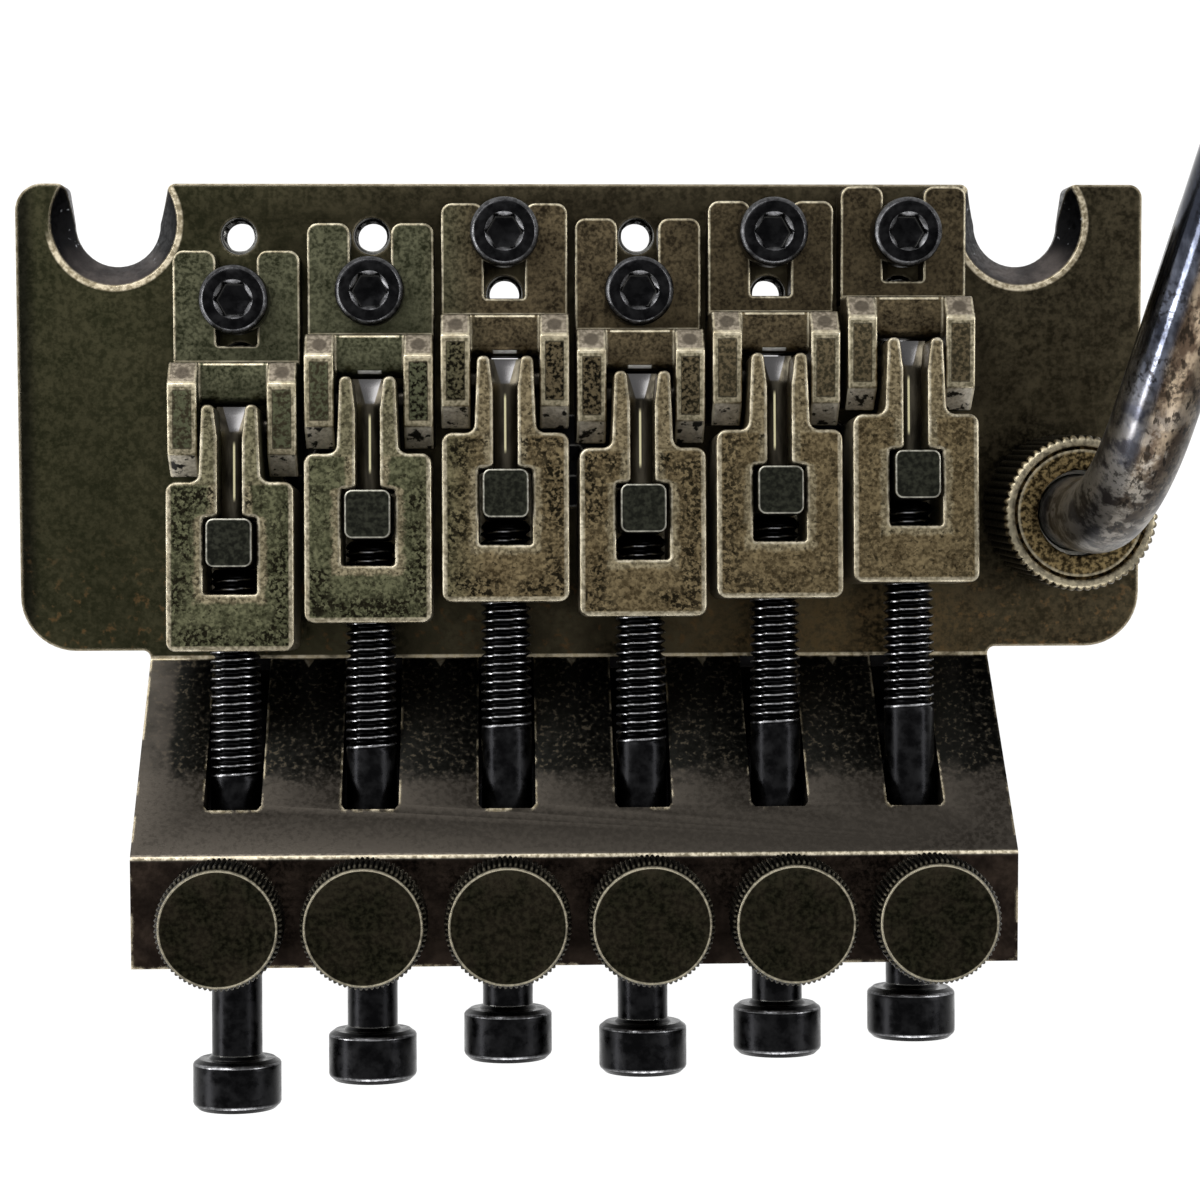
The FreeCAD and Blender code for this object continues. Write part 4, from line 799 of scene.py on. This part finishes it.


# The heads' chamfer lines are painted light, bright on their upper side and faint below: partly
# wear and partly painted highlight.
head_wear_and_highlight = [0.0, 0.86, 1.0, 1.0, 0.0, 0.0, 0.9, 1.0] + [0.0] * 7
head_rows = np.array([0.0] * len(shank) + head_wear_and_highlight)[:, None]
heights, lock_angles = lock_profile[:, 1:], around(LOCK_SIDES)
head_crest = head_rows * (0.86 + 0.14 * np.clip(np.sin(lock_angles), 0.0, 1.0))
on_thread = ((heights > 0.4) & (heights < THREAD_RUN)) + 0.0 * lock_angles
crest = np.maximum(thread_wave(heights, lock_angles, LOCK_PITCH) * on_thread, head_crest)
for string in STRINGS:
    tip = jaw_origin[string] - JAW_AXES[1] * LOCK_TIP + JAW_AXES[2] * AXIS_LIFT
    socket_rows = (socket_row, socket_row + 1)
    points = turned(lock_profile, tip, CROSSWISE, LOCK_SIDES, socket_rows, lock_relief)
    own = {"crest": crest, "plain": 1.0 - on_thread}
    screw = new_piece(f"lock_screw_long_{string}", [shell(points)], 30.0, **own)
    name = f"lock_screw_{string}"
    dress(screw, threaded_black, name, "black_steel", name)

# Fine tuners: a steel stem with a fine thread in the shelf, and a knob with straight knurling.
# The knob's top disc stands a little proud, with a bright turned rim. Its knurled sides are
# painted near black as painted shade, with painted glints on the tips of the teeth.
TUNER_SETBACK, KNOB_TEETH, KNOB_RELIEF = -54.05, 72, 0.26
STEM_RADIUS, STEM_PITCH, STEM_DEPTH, STEM_SIDES = 2.5, 0.8, 0.42, 48
knob_black = Finish("aged_black_nickel_knob")
fine = knob_black.cloudy(0.42, 0.36, 0.66)
knob_black.ground(fine, (10, 10, 6), (26, 25, 17))
knob_black.cover(knob_black.cloudy(2.0, 0.35, 0.7) * 0.4, (38, 33, 26))
# Painted shade: faces that do not look up, the knurled sides, are painted near black.
knob_black.cover(knob_black.facing(2, 0.75, 0.35), (7, 7, 6))
knob_black.cover(knob_black.field("rubbed") * fine.span(0.6, 0.95), (132, 126, 110))
knob_black.close(fine.span(0.34, 0.6), (0.3, 0.25, 0.03))
stem_steel = black_oxide("aged_stem_thread", True)


def knurl(angle, teeth):
    """Straight knurling: a row of rounded ridges, the arch of a sine over each tooth."""
    return np.abs(np.sin(angle * teeth / 2.0)) ** 0.7


def rows(count, places, numbers):
    """A number for each row of a profile, evenly between the rows where it is given."""
    return np.interp(np.arange(count), places, numbers)[:, None]


knob_profile = [(2.55, 0.0), (4.2, 0.0), (4.45, 0.1), (4.6, 0.3), (4.68, 0.5), (4.68, 3.3)]
knob_profile += [(4.68, 3.75), (4.62, 3.95), (4.52, 4.1), (4.5, 4.28), (4.46, 4.4), (4.4, 4.45)]
knob_profile += [(4.34, 4.44), (4.28, 4.4), (2.0, 4.39), (0.02, 4.39), (0.02, 3.0), (2.55, 3.0)]
KNOB_ROWS, KNOB_SIDES = len(knob_profile), KNOB_TEETH * 6
knurled_rows = rows(KNOB_ROWS, [2, 3, 7, 8], [0, 1, 1, 0])
rubbed_rows = rows(KNOB_ROWS, [8, 9, 10, 12, 13], [0, 0.3, 0.9, 1, 0])
# tip_rows paints glints on the tips of the knurl teeth, a painted highlight, beside the worn rim.
tip_rows = rows(KNOB_ROWS, [5, 6, 7, 8], [0.04, 0.3, 0.45, 0])
knob_rubbed = np.maximum(rubbed_rows, tip_rows * knurl(around(KNOB_SIDES), KNOB_TEETH) ** 6)


def knob_relief(height, angle):
    """The knob's knurled ridges, on the rows between its two edges."""
    return knurled_rows * KNOB_RELIEF * (knurl(angle, KNOB_TEETH) - 0.6)


def stem_relief(height, angle):
    """The stem's fine thread, from its point to its top."""
    return thread_cut(height, angle, low[2] + 0.5, knob_foot + 2.9, STEM_PITCH, STEM_DEPTH)


for string in STRINGS:
    low, high = box_of(f"fine_tuner_stem_{string}")
    across = (low[0] + high[0]) / 2.0
    knob_foot = box_of(f"fine_tuner_knob_{string}")[0][2]
    steps_up = np.arange(low[2] + 0.7, high[2] - 0.1, STEM_PITCH / 8.0)
    stem_profile = [(0.02, low[2]), (1.7, low[2]), (2.2, low[2] + 0.3)]
    stem_profile += [(STEM_RADIUS, step) for step in steps_up]
    stem_profile += [(STEM_RADIUS, high[2]), (0.02, high[2])]
    axis = (across, TUNER_SETBACK, 0.0)
    points = turned(stem_profile, axis, sides=STEM_SIDES, relief=stem_relief)
    crest = thread_wave(np.array(stem_profile)[:, 1:], around(STEM_SIDES), STEM_PITCH)
    stem = new_piece(f"tuner_stem_thread_{string}", [shell(points)], 40.0, crest=crest)
    dress(stem, stem_steel, f"tuner_stem_{string}", "tuner", f"fine_tuner_stem_{string}")
    axis = (across, TUNER_SETBACK, knob_foot)
    points = turned(knob_profile, axis, sides=KNOB_SIDES, relief=knob_relief)
    rings = shell(points, loop=True)
    knob = new_piece(f"tuner_knob_{string}", [rings], 40.0, rubbed=knob_rubbed)
    dress(knob, knob_black, f"tuner_knob_{string}", "tuner", f"fine_tuner_knob_{string}")

# Arm socket: a plated steel bush that stands in the plate, held by a hexagonal nut from below.
# It is threaded below for the nut and above for the collar, and the arm stands in its bore.
ARM_PLACE = np.array([40.3, -23.7, 0.0])
SOCKET_RADIUS, SOCKET_PITCH = 4.25, 0.75
plated = Finish("plated_steel_socket")
mottled = plated.cloudy(1.6, 0.35, 0.7)
plated.ground(mottled, (86, 82, 72), (132, 126, 112))
plated.cover(plated.near_edge(0.4, 0.82, 0.98, mottled), (176, 170, 154))
plated.close(mottled.span(0.24, 0.42), (0.3, 0.2, 0.02))
socket_profile = [(3.1, -14.0), (3.9, -14.0), (4.2, -13.7)]
socket_profile += [(SOCKET_RADIUS, step) for step in np.arange(-13.6, -0.2, 0.1)]
socket_profile += [(SOCKET_RADIUS, 3.0), (4.7, 3.0)]
socket_profile += [(4.8, step) for step in np.arange(3.2, 9.2, 0.1)]
socket_profile += [(4.6, 9.35), (4.4, 9.4), (3.1, 9.4)]


def socket_relief(height, angle):
    """The socket's two threads: one below the plate for the nut, one above it for the collar."""
    lower = thread_cut(height, angle, -13.6, -0.2, SOCKET_PITCH, 0.35) * (height < 0.0)
    upper = thread_cut(height, angle, 3.2, 9.1, SOCKET_PITCH, 0.3) * (height > 3.1)
    return (lower + upper) * (np.array(socket_profile)[:, :1] > SOCKET_RADIUS - 0.03)


points = turned(socket_profile, ARM_PLACE, sides=64, relief=socket_relief)
bush = new_piece("arm_socket_bush", [shell(points, loop=True)], 40.0)
dress(bush, plated, "base", "socket", "arm_socket")
nut_profile = [(4.3, -4.0), (5.9, -4.0), (6.25, -3.75), (6.25, -0.25), (5.9, 0.0), (4.3, 0.0)]
QUARTER = np.array([[0.0, 1.0, 0.0], [-1.0, 0.0, 0.0], [0.0, 0.0, 1.0]])
points = turned(nut_profile, ARM_PLACE, QUARTER, 72, hexed=(2, 3))
nut = new_piece("arm_socket_hex_nut", [shell(points, loop=True)])
dress(nut, plated, "base", "socket", "arm_socket_nut")

# Arm washer: a ring of ivory nylon inside the collar, around the arm.
# The collar presses it down on the socket, and its grip holds the arm where it is put.
nylon = Finish("ivory_nylon", 0.0)
nylon.ground(nylon.cloudy(1.5, 0.35, 0.7), (216, 211, 196), (232, 229, 218))
nylon.close(0.5, (0.4, 0.1, 0.02))
washer_profile = [(3.1, 9.5), (3.2, 9.45), (4.7, 9.45), (4.8, 9.55)]
washer_profile += [(4.8, 10.45), (4.7, 10.55), (3.2, 10.55), (3.1, 10.5)]
points = turned(washer_profile, ARM_PLACE, sides=64)
washer = new_piece("nylon_arm_washer", [shell(points, loop=True)])
dress(washer, nylon, "arm_washer", "washer", "arm_washer")

# Arm collar: a knurled steel cap nut, screwed over the socket.
# It is plated like the plate, worn brassy on its top and rubbed bright along its rims, with
# painted highlights on the tips of its teeth.
COLLAR_TEETH, COLLAR_SIDES, COLLAR_RELIEF = 58, 348, 0.27
collar_profile = [(4.85, 3.3), (5.75, 3.3), (5.98, 3.4), (6.1, 3.6), (6.1, 11.8), (6.08, 12.2)]
collar_profile += [(6.0, 12.42), (5.88, 12.55), (5.72, 12.6), (5.42, 12.6), (5.32, 12.52)]
collar_profile += [(5.28, 12.3), (5.2, 12.22), (5.12, 12.3), (5.05, 12.42), (4.93, 12.45)]
collar_profile += [(4.8, 12.44), (4.0, 12.4), (3.62, 12.38), (3.45, 12.3), (3.4, 12.1)]
collar_profile += [(3.4, 10.6), (4.85, 10.6)]
COLLAR_ROWS = len(collar_profile)
collar_rows = rows(COLLAR_ROWS, [2, 3, 5, 6, 7], [0, 1, 1, 0.7, 0])
rim_rows = rows(
    COLLAR_ROWS, [4, 6, 7, 9, 10, 11, 13, 14, 15, 16], [0, 0.3, 1, 1, 0.4, 0, 0, 0.8, 0.9, 0]
)
# tip_rows paints highlights on the tips of the knurl teeth.
tip_rows = rows(COLLAR_ROWS, [2, 3, 4, 5, 6, 7], [0, 0.25, 0.25, 0.4, 0.5, 0])
collar_tips = tip_rows * knurl(around(COLLAR_SIDES), COLLAR_TEETH) ** 4
collar_rubbed = np.maximum(rim_rows, collar_tips)


def collar_relief(height, angle):
    """The collar's knurled ridges, on the rows of its side."""
    return collar_rows * COLLAR_RELIEF * (knurl(angle, COLLAR_TEETH) - 0.5)


coat = Finish("aged_collar_plating")
fine = coat.cloudy(0.4, 0.4, 0.62)
side_colour = coat.mix(coat.cloudy(1.4, 0.36, 0.66), (10, 10, 10), (32, 30, 27))
top_colour = coat.mix(fine, (40, 33, 20), (112, 97, 67))
coat.ground(coat.along(2).step(12.0, 12.3), side_colour, top_colour)
coat.cover(coat.field("rubbed") * fine.span(0.6, 0.85), (136, 129, 111))
coat.close(fine.span(0.3, 0.5), (0.3, 0.25, 0.03))
points = turned(collar_profile, ARM_PLACE, sides=COLLAR_SIDES, relief=collar_relief)
collar = new_piece("knurled_arm_collar", [shell(points, loop=True)], 40.0, rubbed=collar_rubbed)
dress(collar, coat, "arm_collar", "collar", "arm_collar")

# Tremolo arm: a bent steel rod with dark chrome that has pitted and gone brown in patches.
# Its faces turned well towards -X are painted bluish, a painted reflection, and the others brown.
# It stands loosely in the socket and swings about it, and its far end is the player's grip.
ARM_RADIUS, ARM_FOOT, STAND_TOP, FIRST_BEND, RISE = 3.0, -13.0, 17.0, 15.0, math.radians(30.0)
STRAIGHT, SECOND_BEND, TIP_RISE, GRIP, TIP_ROUND = 56.0, 25.0, math.radians(6.0), 70.0, 2.2
HEADING, FOOT_CHAMFER, CHAMFER_AT = math.radians(10.6), 0.5, 0.4


def arm_route():
    """The rod's centre line as distance out and height up: an upright, an arc that leans it out to
    its rise, a straight, an arc back towards level, and the grip."""
    upright = np.stack([np.zeros(24), np.linspace(ARM_FOOT, STAND_TOP, 24)], axis=1)
    lean = np.linspace(0.0, np.pi / 2.0 - RISE, 40)[1:]
    first = FIRST_BEND * np.stack([1.0 - np.cos(lean), np.sin(lean)], axis=1) + [0.0, STAND_TOP]
    ahead = np.linspace(0.0, STRAIGHT, 40)[1:, None] * [math.cos(RISE), math.sin(RISE)]
    second = first[-1] + ahead
    slope = np.linspace(RISE, TIP_RISE, 24)[1:]
    arc = np.stack([math.sin(RISE) - np.sin(slope), np.cos(slope) - math.cos(RISE)], axis=1)
    third = second[-1] + SECOND_BEND * arc
    ahead = np.linspace(0.0, GRIP - TIP_ROUND, 40)[1:, None]
    fourth = third[-1] + ahead * [math.cos(TIP_RISE), math.sin(TIP_RISE)]
    return np.concatenate([upright, first, second, third, fourth])


def rod(route, radius, sides):
    """A round rod along a flat route: each ring is a circle across the route's direction. The far
    end is rounded by rings that shrink by a quarter circle."""
    turn = np.linspace(0.0, np.pi / 2.0, 9)[1:]
    ahead = route[-1] - route[-2]
    ahead = ahead / np.linalg.norm(ahead)
    line = np.concatenate([route, route[-1] + np.sin(turn)[:, None] * TIP_ROUND * ahead])
    tip_width = radius - TIP_ROUND * (1.0 - np.cos(turn))
    width = np.concatenate([np.full(len(route), radius), tip_width])
    width[0] = radius - FOOT_CHAMFER
    line[1] = line[0] + (line[1] - line[0]) * CHAMFER_AT
    direction = np.gradient(line, axis=0)
    direction = direction / np.linalg.norm(direction, axis=1, keepdims=True)
    forward = np.array([math.sin(HEADING), math.cos(HEADING), 0.0])
    sideways = np.array([math.cos(HEADING), -math.sin(HEADING), 0.0])
    upward = np.array([0.0, 0.0, 1.0])
    centre = ARM_PLACE + line[:, :1] * forward + line[:, 1:] * upward
    across = direction[:, :1] * upward - direction[:, 1:] * forward
    angle = around(sides)[..., None]
    ring = np.cos(angle) * sideways - np.sin(angle) * across[:, None, :]
    return centre[:, None, :] + width[:, None, None] * ring


coat = Finish("pitted_dark_chrome")
long_way = coat.stretched(1.0, 0.45, 0.6)
# Split by side: faces turned well towards -X take a bluish chrome, a painted reflection; the others
# take pitted brown.
chrome_painted_reflection = coat.mix(coat.cloudy(3.4, 0.42, 0.6, place=long_way), (46, 49, 58), (102, 106, 118))
browned = coat.mix(coat.cloudy(1.1, 0.42, 0.62, place=long_way), (48, 39, 31), (100, 89, 75))
outer_side = coat.facing(0, -0.58, -0.36)
coat.ground(outer_side, chrome_painted_reflection, browned)
at_bend = coat.along(2).step(36.0, 28.0)
dulled = coat.mix(coat.cloudy(2.2, 0.44, 0.56), (136, 131, 123), (48, 42, 36))
coat.cover(at_bend * 0.75, dulled)
pits = coat.cloudy(0.42, 0.5, 0.6) * coat.cloudy(5.0, 0.4, 0.6) * 0.8
streaks = coat.cloudy(0.5, 0.52, 0.6, place=coat.stretched(1.0, 0.4, 0.5)) * outer_side * 0.85
coat.cover(pits.most(streaks), (16, 13, 10))
coat.close(outer_side.most(at_bend).span(0.11, 0.36), (0.6, 0.12, 0.04))
arm = new_piece("bent_arm_rod", [shell(rod(arm_route(), ARM_RADIUS, 64))], 50.0)
dress(arm, coat, "arm", "arm", "tremolo_arm")

# Studio: a pale paper floor just under the block, and a white sky that lights it softly.
# Four soft lamps stand at the sides, and the photograph's camera hangs nearly overhead.


def seen_itself(tree):
    """1 for the rays that show the floor or the sky, 0 for the soft light that they give off."""
    rays = add_node(tree, "LightPath").outputs
    camera, glossy, through = (
        Amount(rays["Is %s Ray" % kind]) for kind in ("Camera", "Glossy", "Transmission")
    )
    return camera.most(glossy.most(through))


WHITE, FLOOR_SPAN, FLOOR_GAP = (1.0, 1.0, 1.0, 1.0), 6.0, 0.0002
FLOOR_GLOW, SKY_LIGHT, SKY_SEEN = 0.85, 0.55, 1.0
floor_level = cad_box[0][2] - FLOOR_GAP
corners = np.array([[-1, -1, 0], [1, -1, 0], [1, 1, 0], [-1, 1, 0]]) * FLOOR_SPAN / 2.0
floor_mesh = bpy.data.meshes.new("pale_floor")
floor_mesh.from_pydata((corners + [0, 0, floor_level]).tolist(), [], [(0, 1, 2, 3)])
floor = placed("pale_floor", floor_mesh)
paper = Finish("pale_paper", 0.0)
paper.ground(paper.cloudy(30.0, 0.2, 0.8), (246, 246, 246), (250, 250, 250))
paper.close(0.9)
glow = paper.node("Emission", {"Color": WHITE, "Strength": 1.0}).outputs[0]
shares = {0: seen_itself(paper.tree) * FLOOR_GLOW, 1: paper.shader.outputs[0], 2: glow}
mixed = paper.node("MixShader", shares).outputs[0]
put(paper.tree.nodes["Material Output"].inputs["Surface"], mixed)
floor_mesh.materials.append(paper.material)

world = bpy.data.worlds.new("white_studio")
bpy.context.scene.world = world
world.use_nodes = True
sky = world.node_tree.nodes["Background"].inputs
put(sky["Strength"], seen_itself(world.node_tree).span(SKY_LIGHT, SKY_SEEN))
sky["Color"].default_value = WHITE

LAMPS = {
    "window_lamp": ((-0.28, 0.42, 0.42), (0.5, 0.3), 5.0),
    "strip_lamp": ((0.5, 0.12, 0.3), (0.5, 0.12), 2.5),
    "rear_lamp": ((0.05, -0.55, 0.3), (0.6, 0.25), 3.0),
    "line_lamp": ((-0.5, -0.06, 0.15), (0.5, 0.1), 2.6),
}
LAMP_TARGET = np.array([0.0, -0.025, 0.0])
for name, (stand, span, watts) in LAMPS.items():
    lamp = bpy.data.lights.new(name, "AREA")
    lamp.shape = "RECTANGLE"
    lamp.size, lamp.size_y = span
    lamp.energy = watts
    holder = placed(name, lamp)
    holder.location = stand
    aim = LAMP_TARGET - np.array(stand)
    lean = math.atan2(math.hypot(aim[0], aim[1]), -aim[2])
    holder.rotation_euler = (lean, 0.0, math.atan2(aim[1], aim[0]) - math.pi / 2.0)

SENSOR, FOCAL_PIXELS, PHOTO_PIXELS = 36.0, 2657.7, 1200.0
camera = bpy.data.cameras.new("photo_camera")
camera.sensor_width = SENSOR
camera.lens = SENSOR * FOCAL_PIXELS / PHOTO_PIXELS
camera.clip_start = 0.005
viewer = placed("photo_camera", camera)
viewer.location = (-0.00597, -0.01777, 0.22203)
viewer.rotation_euler = tuple(math.radians(degrees) for degrees in (-3.45, -2.191, -0.138))
bpy.context.scene.camera = viewer
bpy.context.scene.view_settings.view_transform = "Standard"
